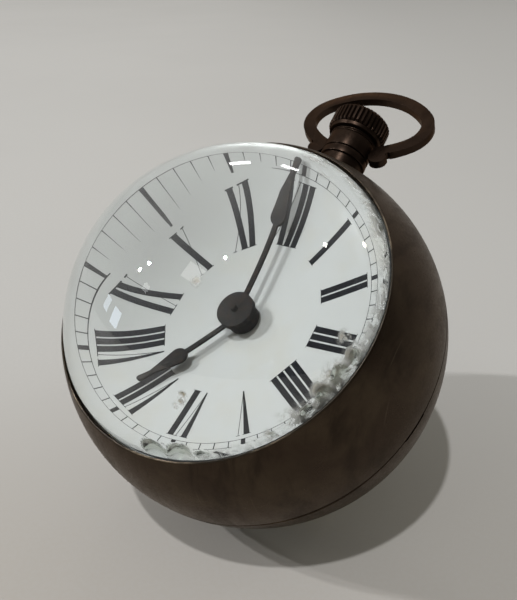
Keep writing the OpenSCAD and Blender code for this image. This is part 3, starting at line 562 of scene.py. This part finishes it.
class CLOCK_OT_case(bpy.types.Operator):
    """Both halves of the spun ball, the worn lip and the pad under the neck"""
    bl_idname = "clock.case"
    bl_label = "Ball case"
    steps = 288
    # The seam between the halves: half its gap, and how far its edges are eased
    seam, seam_ease = 0.07, 0.14
    # Where the back half's edge stands off: clock angle in degrees, reach, how far, and how deep that goes
    sprung_at, sprung_reach, sprung, sprung_fade = 134.0, 28.0, 0.5, 4.0
    # The lip: the rise in degrees where it starts, and the easing of its outer and inner edge
    lip_rise, lip_out, lip_in = 32.2, 0.05, 0.08
    # Its worn bare edge: an outline measured from the edge of the opening
    worn_lip = ((-0.17, -0.02), (-0.17, 0.015), (-0.03, 0.012), (0.015, -0.05), (-0.05, -0.06))
    # The seat of the glass behind the lip: its depth, and the play round the glass
    seat_deep, play = 2.1, 0.125
    # The spigot that the back half fits over: its wall, and its play
    spigot_t, spigot_play = 0.7, 0.1
    # Turn of the thumb nail notch from three o'clock
    nail_at = radians(-10.0)
    # The pad under the neck: its radius, its bore, how far it stands proud, and the room round it in the back
    pad_r, pad_bore, pad_proud, pad_room = 5.45, 2.95, 0.004, 0.1

    def half(self, size, spigot):
        """Profile of a half ball, from the seam over the outside to the lip and back inside."""
        outer, inner, lip = size["ball_d"] / 2, size["ball_d"] / 2 - size["wall"], size["lip_d"] / 2
        lip_z = sqrt(outer ** 2 - lip ** 2)
        bore, recess, seat_z = lip - size["lip_t"], size["flange_d"] / 2 + self.play, lip_z - self.seat_deep
        inside_z = sqrt(inner ** 2 - recess ** 2)
        rise = degrees_of(self.seam + self.seam_ease, outer)
        points = [(outer - self.seam_ease, self.seam)]
        points += arc((0, 0), outer, rise, degrees_of(lip_z - self.lip_in, outer), 60)
        points += eased([(outer * cos(radians(self.lip_rise)), lip_z - self.lip_in),
                         (lip - self.lip_out, lip_z, self.lip_out), (bore, lip_z, self.lip_in),
                         (bore, seat_z)])[1:]
        points += [(recess, seat_z)]
        low = self.spigot_t if spigot else self.seam
        points += arc((0, 0), inner, degrees_of(inside_z, inner), degrees_of(low, inner), 30)
        if spigot:
            root, face, end = inner - self.spigot_t, inner - self.spigot_play, -size["spigot_h"]
            points += [(root, self.spigot_t), (root, end), (face, end), (face, self.seam)]
        return points

    def stand_off(self, shell):
        """Bends the back half's edge away from the seam where it no longer closes."""
        for vert in shell.verts:
            turn = clock_angle(-vert.co.x, vert.co.y)
            share = max(0.0, 1 - abs(turn - self.sprung_at) / self.sprung_reach)
            fade = max(0.0, 1 - vert.co.z / self.sprung_fade)
            vert.co.z += self.sprung * fade * share * share * (3 - 2 * share)

    def cutters(self, size):
        """What is cut out of the back half: room for the pad under the neck, and the thumb nail notch."""
        outer, wide = size["ball_d"] / 2, self.pad_r + self.pad_room
        room, nail = bmesh.new(), bmesh.new()
        bmesh.ops.create_cone(room, cap_ends=True, segments=96, radius1=wide, radius2=wide, depth=20,
                              matrix=Matrix.Translation((0, 0, outer)))
        room.transform(PENDANT_PLACE)
        at_edge = Matrix.Rotation(self.nail_at, 4, "Z") @ Matrix.Translation((outer, 0, 0))
        bmesh.ops.create_cube(nail, size=1.0,
                              matrix=at_edge @ Matrix.Diagonal((1.0, size["nail_w"], 1.0, 1.0)))
        nail.transform(PLACE)
        return [room, nail]

    def pad(self, outer, inner):
        """The pad under the neck: skin of the ball behind the seam that stays with the front half."""
        profile = arc((0, 0), outer + self.pad_proud, 90 - degrees_of(self.pad_r, outer),
                      90 - degrees_of(self.pad_bore, outer), 10)
        profile += arc((0, 0), inner, 90 - degrees_of(self.pad_bore, inner),
                       90 - degrees_of(self.pad_r, inner), 10)
        bm = turned(profile, 128, loop=True)
        cut_flat(bm, (0, -(self.seam + self.seam_ease), 0), (0, -1, 0), 1e-5)
        return bm

    def execute(self, context):
        size = in_mm(context.scene.clock_sizes)
        outer, lip = size["ball_d"] / 2, size["lip_d"] / 2
        lip_z = sqrt(outer ** 2 - size["lip_d"] ** 2 / 4)
        front, back = (turned(self.half(size, spigot), self.steps, loop=True) for spigot in (True, False))
        piece(front, "front_half", "case", ["patinated_bronze"], stands_for=["front_case"],
              sharp=25)
        self.stand_off(back)
        made = piece(back, "back_half", "back", ["patinated_bronze"], BACK_PLACE, ["back_case"],
                     sharp=25)
        cut_away(made, self.cutters(size))
        pad = self.pad(outer, outer - size["wall"] - self.spigot_t)
        piece(pad, "neck_pad", "case", ["patinated_bronze"], PENDANT_PLACE)
        wear = turned([(lip + out, lip_z + up) for out, up in self.worn_lip], self.steps, loop=True)
        piece(wear, "worn_lip", "case", ["bare_bronze"], sharp=60)
        return {"FINISHED"}


class CLOCK_OT_glasses(bpy.types.Operator):
    """The thick domed glass over the dial, chipped at its rim, and the rear glass with its ground foot"""
    bl_idname = "clock.glasses"
    bl_label = "Domed glasses"
    steps = 384
    # In degrees along the dome, from its edge: the bevel, and the band that is meshed finer for the chips
    bevel, band = 2.1, 11
    # The edge: how far it leans in, and how far down; the depth of the step under the lip
    lean, drop, step_deep = 0.1, 0.6, 2.15
    # The underside: its gap to the dial, and the flat round the hollow
    gap, flat_w = 0.05, 0.4
    # The edge is ground: from how far inside it on its side, and outside it on the step
    ground_in, ground_out = 0.12, 0.05
    # Chips on the rim: clock angle in degrees, distance from the middle of the dial, size, depth
    chips = ((169, 25.9, 2.0, 0.6), (160, 26.0, 2.1, 0.5), (153, 26.3, 1.2, 0.4), (174, 26.4, 0.8, 0.25),
             (98, 26.0, 1.1, 0.3), (105, 25.8, 1.4, 0.35), (112, 25.9, 1.2, 0.35), (119, 26.1, 1.0, 0.3),
             (90, 26.4, 0.7, 0.2), (131, 26.3, 0.8, 0.25), (37, 26.4, 0.7, 0.2), (54, 26.3, 0.9, 0.25),
             (20, 26.3, 0.9, 0.3), (142, 26.4, 0.6, 0.2), (228, 26.4, 0.5, 0.2), (320, 26.4, 0.5, 0.2))
    # Where chips start, at the rim, and the height that all chips and dirt are above
    rim, low_z = 26.6, 12
    # Dirt on the dome: clock angle, distance, reach, strength
    dirt = ((19, 23.6, 2.2, 0.55), (24, 24.2, 2.2, 0.6), (32, 22.2, 1.6, 0.35), (12, 25.4, 2.6, 0.45),
            (40, 25.8, 2.6, 0.5), (54, 25.8, 2.2, 0.5), (96, 24.4, 1.5, 0.8), (99, 25.5, 1.8, 0.8),
            (106, 25.3, 2.0, 0.85), (112, 25.5, 2.0, 0.85), (118, 25.9, 1.5, 0.7), (87, 26.1, 1.6, 0.6),
            (152.2, 20.3, 0.6, 2.0), (153.2, 20.9, 0.6, 2.0), (155.8, 21.3, 0.6, 1.6), (124, 9.1, 0.9, 0.8),
            (131, 26.0, 1.2, 0.6), (166, 25.2, 0.9, 0.5), (157, 25.4, 0.8, 0.5))
    # Dirt along the rim: from and to which clock angle, from which distance, strength
    rim_dirt = ((0, 62, 24.3, 0.8), (56, 100, 25.0, 0.75), (92, 128, 24.6, 0.95), (122, 152, 25.5, 0.6),
                (148, 182, 25.6, 0.65), (176, 262, 26.0, 0.4))
    # It fades over this many degrees and this width, and goes black from this distance, over this width
    fade_turn, fade_in, black_from, black_over = 6, 1.6, 25.1, 0.8
    # How much steeper a spot of dirt fades than evenly over its reach
    spot_edge = 1.6

    def profile(self, size):
        """Profile of a glass, from the top of its dome round the edge to the middle of its hollow."""
        outer, edge, flange = size["ball_d"] / 2, size["glass_d"] / 2, size["flange_d"] / 2
        lip_z = sqrt(outer ** 2 - size["lip_d"] ** 2 / 4)
        middle = lip_z - sqrt(size["glass_r"] ** 2 - edge ** 2)
        flat_z, seat_z = size["dial_z"] + self.gap, lip_z - self.step_deep
        hollow, deep = size["hollow_d"] / 2, size["hollow_h"]
        hollow_r = (hollow ** 2 + deep ** 2) / (2 * deep)
        edge_at = degrees_of(lip_z - middle, size["glass_r"])
        points = arc((0, middle), size["glass_r"], 90, edge_at + self.band, 70)
        points += arc((0, middle), size["glass_r"], edge_at + self.band, edge_at + self.bevel, 26)[1:]
        points += eased([points[-1], (edge - self.lean, lip_z - self.drop, 0.2), (edge, seat_z, 0.08),
                         (flange, seat_z, 0.25), (flange, flat_z, 0.3), (hollow + self.flat_w, flat_z)])[1:]
        points += arc((0, flat_z + deep - hollow_r), hollow_r, 90 - degrees_of(hollow, hollow_r), 90, 60)
        return points, middle

    def execute(self, context):
        size = in_mm(context.scene.clock_sizes)
        points, middle = self.profile(size)
        edge = size["glass_d"] / 2
        front, rear = (turned(points, self.steps) for _ in range(2))
        self.chip(front, middle, size["glass_r"])
        table = BACK_PLACE.inverted()
        cut_flat(rear, table @ Vector((0, 0, 0)), table.to_3x3() @ Vector((0, 0, -1)), 1e-4)
        self.mark(rear)
        for bm, name, body, place, node in ((front, "dome_glass", "case", PLACE, "front_glass"),
                                            (rear, "rear_dome_glass", "back", BACK_PLACE, "rear_glass")):
            for face in bm.faces:
                away, up = face.calc_center_median().xy.length, face.normal.z
                side, step = away > edge - self.ground_in, away > edge + self.ground_out
                face.material_index = int(side and abs(up) < 0.5 or step and up > 0.5)
            piece(bm, name, body, ["clear_glass", "ground_glass"], place, [node], sharp=40)
        return {"FINISHED"}

    def mark(self, bm):
        """The marks that the glass finish reads. Shell is the distance from where a chip starts."""
        return [bm.verts.layers.float.new(name) for name in ("chipped", "haze", "black", "shell")]

    def chip(self, bm, middle, radius):
        """Bites shell-shaped chips out of the rim, and marks the chips and the dirt."""
        chipped, haze, black, shell = self.mark(bm)
        centre = Vector((0, 0, middle))

        def on_dome(turn, away):
            spot = Vector((away * sin(radians(turn)), away * cos(radians(turn)), 0))
            spot.z = sqrt(radius ** 2 - away ** 2) + middle
            return spot

        bites = []
        for turn, away, half, deep in self.chips:
            spot = on_dome(turn, away)
            ball = (half ** 2 + deep ** 2) / (2 * deep)
            bites.append((spot + (spot - centre).normalized() * (ball - deep), ball, on_dome(turn, self.rim)))
        soiled = [(on_dome(turn, away), reach, most) for turn, away, reach, most in self.dirt]
        for vert in bm.verts:
            if vert.co.z < self.low_z:
                continue
            for spot, ball, start in bites:
                gap = vert.co - spot
                if gap.length < ball:
                    vert.co = spot + gap.normalized() * ball
                    vert[chipped] = 1.0
                    vert[shell] = (vert.co - start).length
            away, turn = vert.co.xy.length, clock_angle(vert.co.x, vert.co.y)
            for start, end, inside, most in self.rim_dirt:
                share = min(1.0, (turn - start) / self.fade_turn, (end - turn) / self.fade_turn,
                            (away - inside) / self.fade_in)
                caked = min(share, (away - self.black_from) / self.black_over)
                vert[haze] = max(vert[haze], most * share)
                vert[black] = max(vert[black], most * caked)
            for spot, reach, most in soiled:
                share = 1 - (vert.co - spot).length / reach
                vert[haze] = max(vert[haze], most * min(1.0, self.spot_edge * share))


class CLOCK_OT_dial(bpy.types.Operator):
    """The enamel dial with its Roman numerals and minute track"""
    bl_idname = "clock.dial"
    bl_label = "Dial"
    # Radius of the hole that the hands' arbor comes through, and thickness of the ink
    hole_r, ink_t = 1.7, 0.02
    numerals = ("XII", "I", "II", "III", "IIII", "V", "VI", "VII", "VIII", "IX", "X", "XI")
    # The print: how far it is turned on the dial, and the gap between letters
    turn, gap = radians(-2.1), 0.22
    # How far a serif stands out beside a thick stroke, and half its width on a thin one
    serif, thin_serif = 0.15, 0.25
    # V: its width, the width of its point, how far that stands to the right, and its thin stroke inwards
    v_width, v_point, v_shift, v_in = 1.65, 0.16, 0.1, 0.15
    # X: its width, and how far the ends of its thin stroke stand inwards
    x_width, x_in = 1.9, 0.2
    # Width of a line of the minute track
    track_line = 0.05
    # Its marks: half their width, the share of it left at the worn inner end, the length lost there
    hour_mark, minute_mark = (0.28, 0.5, 0.0), (0.055, 0.07, 0.32)
    # Between these clock angles the track is worn: how fast that grows to the radian, the share of a line's
    # width that is lost at most, and how worn the inner line is where it is gone
    worn, wear_rate, most_lost, worn_off = (radians(262), radians(352)), 6, 0.9, 0.9

    def stroke(self, bm, corners, turn, foot):
        """One ink stroke: a quadrilateral in the numeral's own plane, turned to its place, as a thin slab."""
        found = bmesh.ops.create_grid(bm, x_segments=1, y_segments=1, size=0.5)
        low_left, low_right, high_right, high_left = (Vector(corner) for corner in corners)
        for vert in found["verts"]:
            across, up = vert.co.x + 0.5, vert.co.y + 0.5
            spot = low_left.lerp(low_right, across).lerp(high_left.lerp(high_right, across), up)
            flat = Vector((spot.x, foot + spot.y, self.face_z - self.ink_t / 2))
            vert.co = Matrix.Rotation(-turn, 3, "Z") @ flat
        faces = list({face for vert in found["verts"] for face in vert.link_faces})
        slab = bmesh.ops.extrude_face_region(bm, geom=faces)
        top = [part for part in slab["geom"] if isinstance(part, bmesh.types.BMVert)]
        bmesh.ops.translate(bm, verts=top, vec=(0, 0, 1.5 * self.ink_t))

    def end(self, bm, x, half, y, turn, foot):
        """A serif: a hairline across the end of a stroke."""
        low, high = y - self.hairline / 2, y + self.hairline / 2
        self.stroke(bm, ((x - half, low), (x + half, low), (x + half, high), (x - half, high)), turn, foot)

    def bar(self, bm, x_low, x_high, low_w, high_w, turn, foot):
        """A straight or slanting stroke from the numeral's foot to its head."""
        self.stroke(bm, ((x_low - low_w / 2, 0), (x_low + low_w / 2, 0), (x_high + high_w / 2, self.height),
                         (x_high - high_w / 2, self.height)), turn, foot)

    def numeral(self, bm, text, turn, foot):
        """Draws one numeral, with its feet towards the middle of the dial."""
        thick, thin, high = self.thick, self.hairline, self.height
        widths = {"I": thick, "V": self.v_width, "X": self.x_width}
        left = -(sum(widths[c] for c in text) + self.gap * (len(text) - 1)) / 2
        over = thick / 2 + self.serif
        for c in text:
            right = left + widths[c]
            middle, head = (left + right) / 2, left + thick / 2
            if c == "I":
                self.bar(bm, middle, middle, thick, thick, turn, foot)
                ends = ((middle, over, 0), (middle, over, high))
            elif c == "V":
                point, thin_head = middle + self.v_shift, right - self.v_in
                self.bar(bm, point, head, self.v_point, thick, turn, foot)
                self.bar(bm, point, thin_head, thin, thin, turn, foot)
                ends = ((head, over, high), (thin_head, self.thin_serif, high))
            else:
                base, thin_base, thin_head = right - thick / 2, left + self.x_in, right - self.x_in
                self.bar(bm, base, head, thick, thick, turn, foot)
                self.bar(bm, thin_base, thin_head, thin, thin, turn, foot)
                ends = ((base, over, 0), (thin_base, self.thin_serif, 0), (head, over, high),
                        (thin_head, self.thin_serif, high))
            for x, half, y in ends:
                self.end(bm, x, half, y, turn, foot)
            left = right + self.gap

    def wear(self, turn):
        """How worn the minute track is at a clock angle, from 0 to 1."""
        start, end = self.worn
        inside = min(turn % tau - start, end - turn % tau)
        return max(0.0, min(1.0, self.wear_rate * inside))

    def track_ring(self, away, broken):
        """One line of the minute track, thinner where it is worn. A broken one has a gap there."""
        near, far = away - self.track_line / 2, away + self.track_line / 2
        low, high = self.face_z - self.ink_t / 2, self.face_z + self.ink_t
        ring = turned([(near, low), (far, low), (far, high), (near, high)], 180, loop=True)
        for vert in ring.verts:
            now, left = vert.co.xy.length, 1 - self.most_lost * self.wear(atan2(vert.co.x, vert.co.y))
            vert.co.xy *= (away + (now - away) * left) / now
        if broken:
            gone = [v for v in ring.verts if self.wear(atan2(v.co.x, v.co.y)) > self.worn_off]
            bmesh.ops.delete(ring, geom=gone, context="VERTS")
            bmesh.ops.holes_fill(ring, edges=[e for e in ring.edges if e.is_boundary], sides=0)
        return ring

    def execute(self, context):
        size = in_mm(context.scene.clock_sizes)
        self.face_z, self.height = size["dial_z"], size["numeral_h"]
        self.thick, self.hairline = size["stroke"], size["hairline"]
        back_z, edge = self.face_z - size["dial_t"], size["dial_d"] / 2
        profile = eased([(self.hole_r, back_z), (self.hole_r, self.face_z, 0.1), (edge, self.face_z, 0.25),
                         (edge, back_z, 0.1)])
        disc = turned(profile, 192, loop=True)
        piece(disc, "dial_plate", "case", ["fired_enamel"], stands_for=["dial"])
        foot, outside = size["numeral_r"], size["track_d"] / 2
        inside = outside - size["track_w"]
        numerals, marks = bmesh.new(), bmesh.new()
        for hour, text in enumerate(self.numerals):
            self.numeral(numerals, text, self.turn + hour * tau / 12, foot)
        for minute in range(60):
            at = self.turn + minute * tau / 60
            wide, left, lost = self.minute_mark if minute % 5 else self.hour_mark
            thin = wide * (1 - (1 - left) * self.wear(at))
            low, high = inside - foot + lost * self.wear(at), outside - foot
            self.stroke(marks, ((-thin, low), (thin, low), (wide, high), (-wide, high)), at, foot)
        for name, bm in (("dial_numerals", numerals), ("minute_marks", marks)):
            bmesh.ops.recalc_face_normals(bm, faces=bm.faces)
            piece(bm, name, "case", ["black_ink"])
        for name, away in (("track_inside", inside), ("track_outside", outside)):
            piece(self.track_ring(away, away == inside), name, "case", ["black_ink"])
        return {"FINISHED"}


class CLOCK_OT_hands(bpy.types.Operator):
    """The browned steel hands and their hub"""
    bl_idname = "clock.hands"
    bl_label = "Hands"
    # Width of their broken edges
    ease = 0.05

    def execute(self, context):
        for name in ("minute", "hour"):
            softened(f"{name}_hand", self.ease, name, "browned_steel")
        return {"FINISHED"}


class CLOCK_OT_neck(bpy.types.Operator):
    """The neck: collar, groove, sleeve and thin top ring"""
    bl_idname = "clock.neck"
    bl_label = "Neck"
    # Heights above the middle of the ball
    root, collar, groove, ring, top = 28.0, 36.3, 37.65, 41.0, 41.75
    # Radii of the bore and of the tube inside the ball, and how far the neck's foot sinks into the ball
    bore, tube, sunk = 2.6, 2.9, 0.4
    # How far the waist under the collar and the grooves stand in, and the height of the groove over it
    waist_in, groove_in, groove_h = 0.45, 0.35, 0.3
    # The two lines beside the top ring: how far apart, how much they lean, and their height
    ring_h, line_lean, line_h = 0.37, 0.02, 0.12
    # Width of the broken edges of the bow's pins
    pin_ease = 0.08

    def execute(self, context):
        size = in_mm(context.scene.clock_sizes)
        r, foot = size["neck_d"] / 2, size["ball_d"] / 2 - self.sunk
        waist, deep, over = r - self.waist_in, r - self.groove_in, self.groove + self.groove_h
        corners = [(self.bore, self.root), (self.tube, self.root), (self.tube, foot), (waist, foot),
                   (waist, self.collar, 0.05), (r, self.collar, 0.12), (r, self.groove, 0.1),
                   (deep, self.groove, 0.04), (deep, over, 0.04), (r, over, 0.1)]
        for low in (self.ring, self.ring + self.ring_h):
            high = low + self.line_h
            corners += [(r, low, 0.08), (deep, low + self.line_lean, 0.03), (deep, high, 0.03),
                        (r, high, 0.08)]
        corners += [(r, self.top, 0.12), (self.bore, self.top, 0.1)]
        piece(turned(eased(corners), 128, loop=True), "neck_sleeve", "case", ["darkened_brass"],
              PENDANT_PLACE, ["neck"])
        softened("bow_pins", self.pin_ease, "case", "darkened_brass")
        return {"FINISHED"}


class CLOCK_OT_crown(bpy.types.Operator):
    """The winding crown: straight flutes round a chamfered drum"""
    bl_idname = "clock.crown"
    bl_label = "Crown"
    steps_per_flute = 10
    # Height of the drum's foot above the middle of the ball, radius and depth of the stem's hole
    low, hole_r, hole_h = 42.6, 1.01, 2.5
    # How far the plain ring under the drum stands in, and its height
    ring_in, ring_h = 0.55, 0.65
    # Radius of curvature of the domed top
    top_r = 26
    # The flutes: how far inside the drum's radius they start, over what width they deepen, and the width
    # and roundness of their crests
    flute_in, flute_ramp, crest, crest_round = 0.7, 0.5, 2.2, 1.5

    def execute(self, context):
        size = in_mm(context.scene.clock_sizes)
        r, h, deep, flutes = size["crown_d"] / 2, size["crown_h"], size["flute_h"], size["flutes"]
        low, high, ring, hole_z = self.low, self.low + h, r - self.ring_in, self.low + self.hole_h
        # From the stem's hole round the plain ring, the lower chamfer, the fluted side and the upper chamfer
        drum = [(self.hole_r, low - self.ring_h), (ring, low - self.ring_h, 0.15),
                (ring + 0.12, low + 0.02, 0.04), (r - 0.3, low + 0.02, 0.08), (r, low + 0.42, 0.15),
                (r, high - 0.5, 0.25), (r - 0.6, high - 0.05, 0.25)]
        profile = [(self.hole_r, hole_z)] + eased(drum + [(0, high)], 5)[:-1]
        # More points along the side keep its shading straight
        straight = [(r, low + 0.6 + (h - 1.3) * k / 4) for k in range(1, 4)]
        at = next(k for k, spot in enumerate(profile) if spot[1] > low + 0.5 * h and spot[0] > r - 0.5)
        profile[at:at] = straight
        profile += arc((0, high - self.top_r), self.top_r, 90 - degrees_of(r - 1.0, self.top_r), 90, 8)
        bm = turned([(0, hole_z)] + profile, flutes * self.steps_per_flute)
        start = r - self.flute_in
        for vert in bm.verts:
            away = vert.co.xy.length
            if away < start or vert.co.z < low + 0.03:
                continue
            share = 0.5 + 0.5 * cos(flutes * atan2(vert.co.y, vert.co.x))
            groove = deep * (1 - min(1.0, self.crest * share) ** self.crest_round)
            vert.co.xy *= (away - groove * min(1.0, (away - start) / self.flute_ramp)) / away
        piece(bm, "fluted_crown", "crown", ["darkened_brass"], PENDANT_PLACE, ["crown"], sharp=50)
        return {"FINISHED"}


class CLOCK_OT_bow(bpy.types.Operator):
    """The flat stamped bow"""
    bl_idname = "clock.bow"
    bl_label = "Bow"
    # Width of its broken edges
    ease = 0.22

    def execute(self, context):
        softened("bow", self.ease, "bow", "darkened_brass", segments=3)
        return {"FINISHED"}


class CLOCK_OT_movement(bpy.types.Operator):
    """Finishes of the movement, which shows through the rear glass"""
    bl_idname = "clock.movement"
    bl_label = "Movement"
    gilt = ("movement_ring", "main_plate", "train_plate", "pallet_cock", "balance_cock", "rear_ring",
            "centre_wheel", "hour_wheel", "minute_wheel", "barrel", "third_wheel", "fourth_wheel",
            "balance_wheel")
    steel = ("dog_screws", "plate_screws", "pallet_lever", "click", "setting_sleeve", "winding_stem",
             "cannon_pinion", "ratchet_wheel", "crown_wheel", "escape_wheel", "hairspring")

    def execute(self, context):
        for names, finish in ((self.gilt, "matt_gilding"), (self.steel, "polished_steel")):
            for name in names:
                slots = frame["nodes"][name].data.materials
                slots.clear()
                slots.append(FINISHES[finish])
        return {"FINISHED"}


class CLOCK_OT_stage(bpy.types.Operator):
    """The table, the light and the camera"""
    bl_idname = "clock.stage"
    bl_label = "Stage"
    # Radius of the table in metres
    table_r = 6.0
    # How far the lamps stand from the ball, in metres, and the colour of the main ones
    away, lamp_tint = 4.5, (0.965, 0.98, 1.0)
    # Lamps: name, which strength it takes and what share of it, turn, rise and width in degrees
    lamps = (("high_lamp", "high_lamp", 1.0, 4.0, 66.0, 1.6),
             ("side_lamp", "side_lamp", 0.6, -52.0, 37.0, 1.5),
             ("low_side_lamp", "side_lamp", 0.4, -53.7, 31.2, 1.3))
    # Windows and small lamps that show in the glass: turn, rise, width and height in degrees, brightness
    # and colour
    windows = ((-17.0, 50.6, 11.0, 9.0, 1.7, (1.0, 0.99, 0.97)),
               (-41.0, 29.0, 4.5, 4.0, 1.6, (1.0, 1.0, 1.0)),
               (-50.0, 7.0, 6.5, 8.0, 3.4, (0.72, 0.84, 1.0)),
               (-60.0, 8.0, 4.5, 6.0, 2.4, (0.72, 0.84, 1.0)),
               (-141.0, 38.0, 7.0, 3.5, 7.0, (1.0, 1.0, 1.0)),
               (-161.6, 36.0, 6.0, 3.0, 6.0, (1.0, 1.0, 1.0)),
               (123.7, 50.8, 3.0, 2.0, 14.0, (1.0, 0.97, 0.9)),
               (143.7, 30.0, 3.0, 2.0, 9.0, (1.0, 0.95, 0.85)))
    # The room: the pale wall behind the clock, the dim room before it, and the colour of the light all round
    wall, dim, ambient_tint = (0.46, 0.45, 0.435), (0.038, 0.037, 0.036), (1, 0.985, 0.89)

    def lamp(self, name, light_on_ball, turn, rise, width, height, shape, tint):
        """A lamp that faces the ball: turn is from the front towards three o'clock, rise above the table."""
        light = bpy.data.lights.new(name, "AREA")
        light.shape = shape
        light.size = 2 * self.away * tan(radians(width / 2))
        light.size_y = 2 * self.away * tan(radians(height / 2))
        light.energy = 4 * self.away ** 2 * light_on_ball
        light.color = tint
        made = bpy.data.objects.new(name, light)
        made.visible_camera = False
        turn, rise = radians(turn), radians(rise)
        towards = Vector((sin(turn) * cos(rise), -cos(turn) * cos(rise), sin(rise)))
        made.matrix_world = (Matrix.Translation(MIDDLE + self.away * towards)
                             @ towards.to_track_quat("Z", "Y").to_matrix().to_4x4())
        bpy.context.scene.collection.objects.link(made)

    def room(self, ambient):
        """Soft light from all round. Metal and glass show the wall behind the clock and the dim room."""
        world = bpy.data.worlds.new("room")
        world.use_nodes = True
        air = Patterns(world.node_tree, "Generated")
        behind = air.between(air.along(BEHIND), -0.25, 0.40, 0.0, 1.0)
        path = air.node("ShaderNodeLightPath").outputs
        seen = air.blend(path["Is Camera Ray"], air.blend(behind, self.dim, self.wall), self.wall)
        mirrored = air.math(path["Is Glossy Ray"], path["Is Transmission Ray"], "MAXIMUM")
        shows = air.math(path["Is Camera Ray"], mirrored, "MAXIMUM")
        light = shaded(self.ambient_tint, ambient)
        glow = air.node("ShaderNodeBackground", Color=air.blend(shows, light, seen), Strength=1.0)
        air.node("ShaderNodeOutputWorld", Surface=glow.outputs[0])
        return world

    def table(self, scene):
        """The table top, a wide disc at height 0."""
        bm = bmesh.new()
        bmesh.ops.create_circle(bm, cap_ends=True, segments=128, radius=self.table_r)
        mesh = bpy.data.meshes.new("table")
        bm.to_mesh(mesh)
        bm.free()
        mesh.materials.append(FINISHES["table_top"])
        table = bpy.data.objects.new("table", mesh)
        scene.collection.objects.link(table)

    def camera(self, scene):
        """The camera, where the photograph was taken from."""
        view = bpy.data.cameras.new("camera")
        view.sensor_fit = "VERTICAL"
        view.sensor_height = SENSOR_MM
        view.lens = FOCAL_PX * SENSOR_MM / PHOTO_H
        view.clip_start = 0.005
        view.clip_end = 30.0
        camera = bpy.data.objects.new("camera", view)
        backward = CAMERA_BACKWARD.normalized()
        right = (CAMERA_RIGHT - CAMERA_RIGHT.dot(backward) * backward).normalized()
        axes = Matrix((right, backward.cross(right), backward)).transposed().to_4x4()
        camera.matrix_world = Matrix.Translation(MIDDLE + CAMERA_FROM_BALL) @ axes
        scene.collection.objects.link(camera)
        scene.camera = camera

    def execute(self, context):
        scene, stage = context.scene, context.scene.clock_stage
        scene.view_settings.view_transform = "Standard"
        self.table(scene)
        scene.world = self.room(stage.ambient)
        for name, source, share, turn, rise, width in self.lamps:
            light_on_ball = share * getattr(stage, source)
            self.lamp(name, light_on_ball, turn, rise, width, width, "ELLIPSE", self.lamp_tint)
        for k, (turn, rise, width, height, bright, tint) in enumerate(self.windows):
            light_on_ball = bright * radians(width) * radians(height)
            self.lamp(f"window_{k}", light_on_ball, turn, rise, width, height, "RECTANGLE", tint)
        self.camera(scene)
        return {"FINISHED"}


PIECES = (CLOCK_OT_case, CLOCK_OT_glasses, CLOCK_OT_dial, CLOCK_OT_hands, CLOCK_OT_neck, CLOCK_OT_crown,
          CLOCK_OT_bow, CLOCK_OT_movement, CLOCK_OT_stage)


class CLOCK_PT_pieces(bpy.types.Panel):
    """Lists the clock's pieces"""
    bl_idname = "CLOCK_PT_pieces"
    bl_label = "Ball desk clock"
    bl_space_type = "VIEW_3D"
    bl_region_type = "UI"
    bl_category = "Clock"

    def draw(self, context):
        for step in PIECES:
            self.layout.operator(step.bl_idname)
        for group in (context.scene.clock_sizes, context.scene.clock_colours, context.scene.clock_stage):
            for name in type(group).__annotations__:
                self.layout.prop(group, name)


CLASSES = (ClockSizes, ClockColours, ClockStage, *PIECES, CLOCK_PT_pieces)


def register():
    """Registers the classes, and the settings on the scene."""
    for kind in CLASSES:
        bpy.utils.register_class(kind)
    bpy.types.Scene.clock_sizes = PointerProperty(type=ClockSizes)
    bpy.types.Scene.clock_colours = PointerProperty(type=ClockColours)
    bpy.types.Scene.clock_stage = PointerProperty(type=ClockStage)


def unregister():
    """Takes the settings and the classes away again."""
    del bpy.types.Scene.clock_stage
    del bpy.types.Scene.clock_colours
    del bpy.types.Scene.clock_sizes
    for kind in reversed(CLASSES):
        bpy.utils.unregister_class(kind)


def main():
    """Makes every piece and the stage."""
    register()
    make_finishes(bpy.context.scene.clock_colours)
    bpy.ops.clock.case()
    bpy.ops.clock.glasses()
    bpy.ops.clock.dial()
    bpy.ops.clock.hands()
    bpy.ops.clock.neck()
    bpy.ops.clock.crown()
    bpy.ops.clock.bow()
    bpy.ops.clock.movement()
    bpy.ops.clock.stage()


if __name__ == "__main__":
    main()
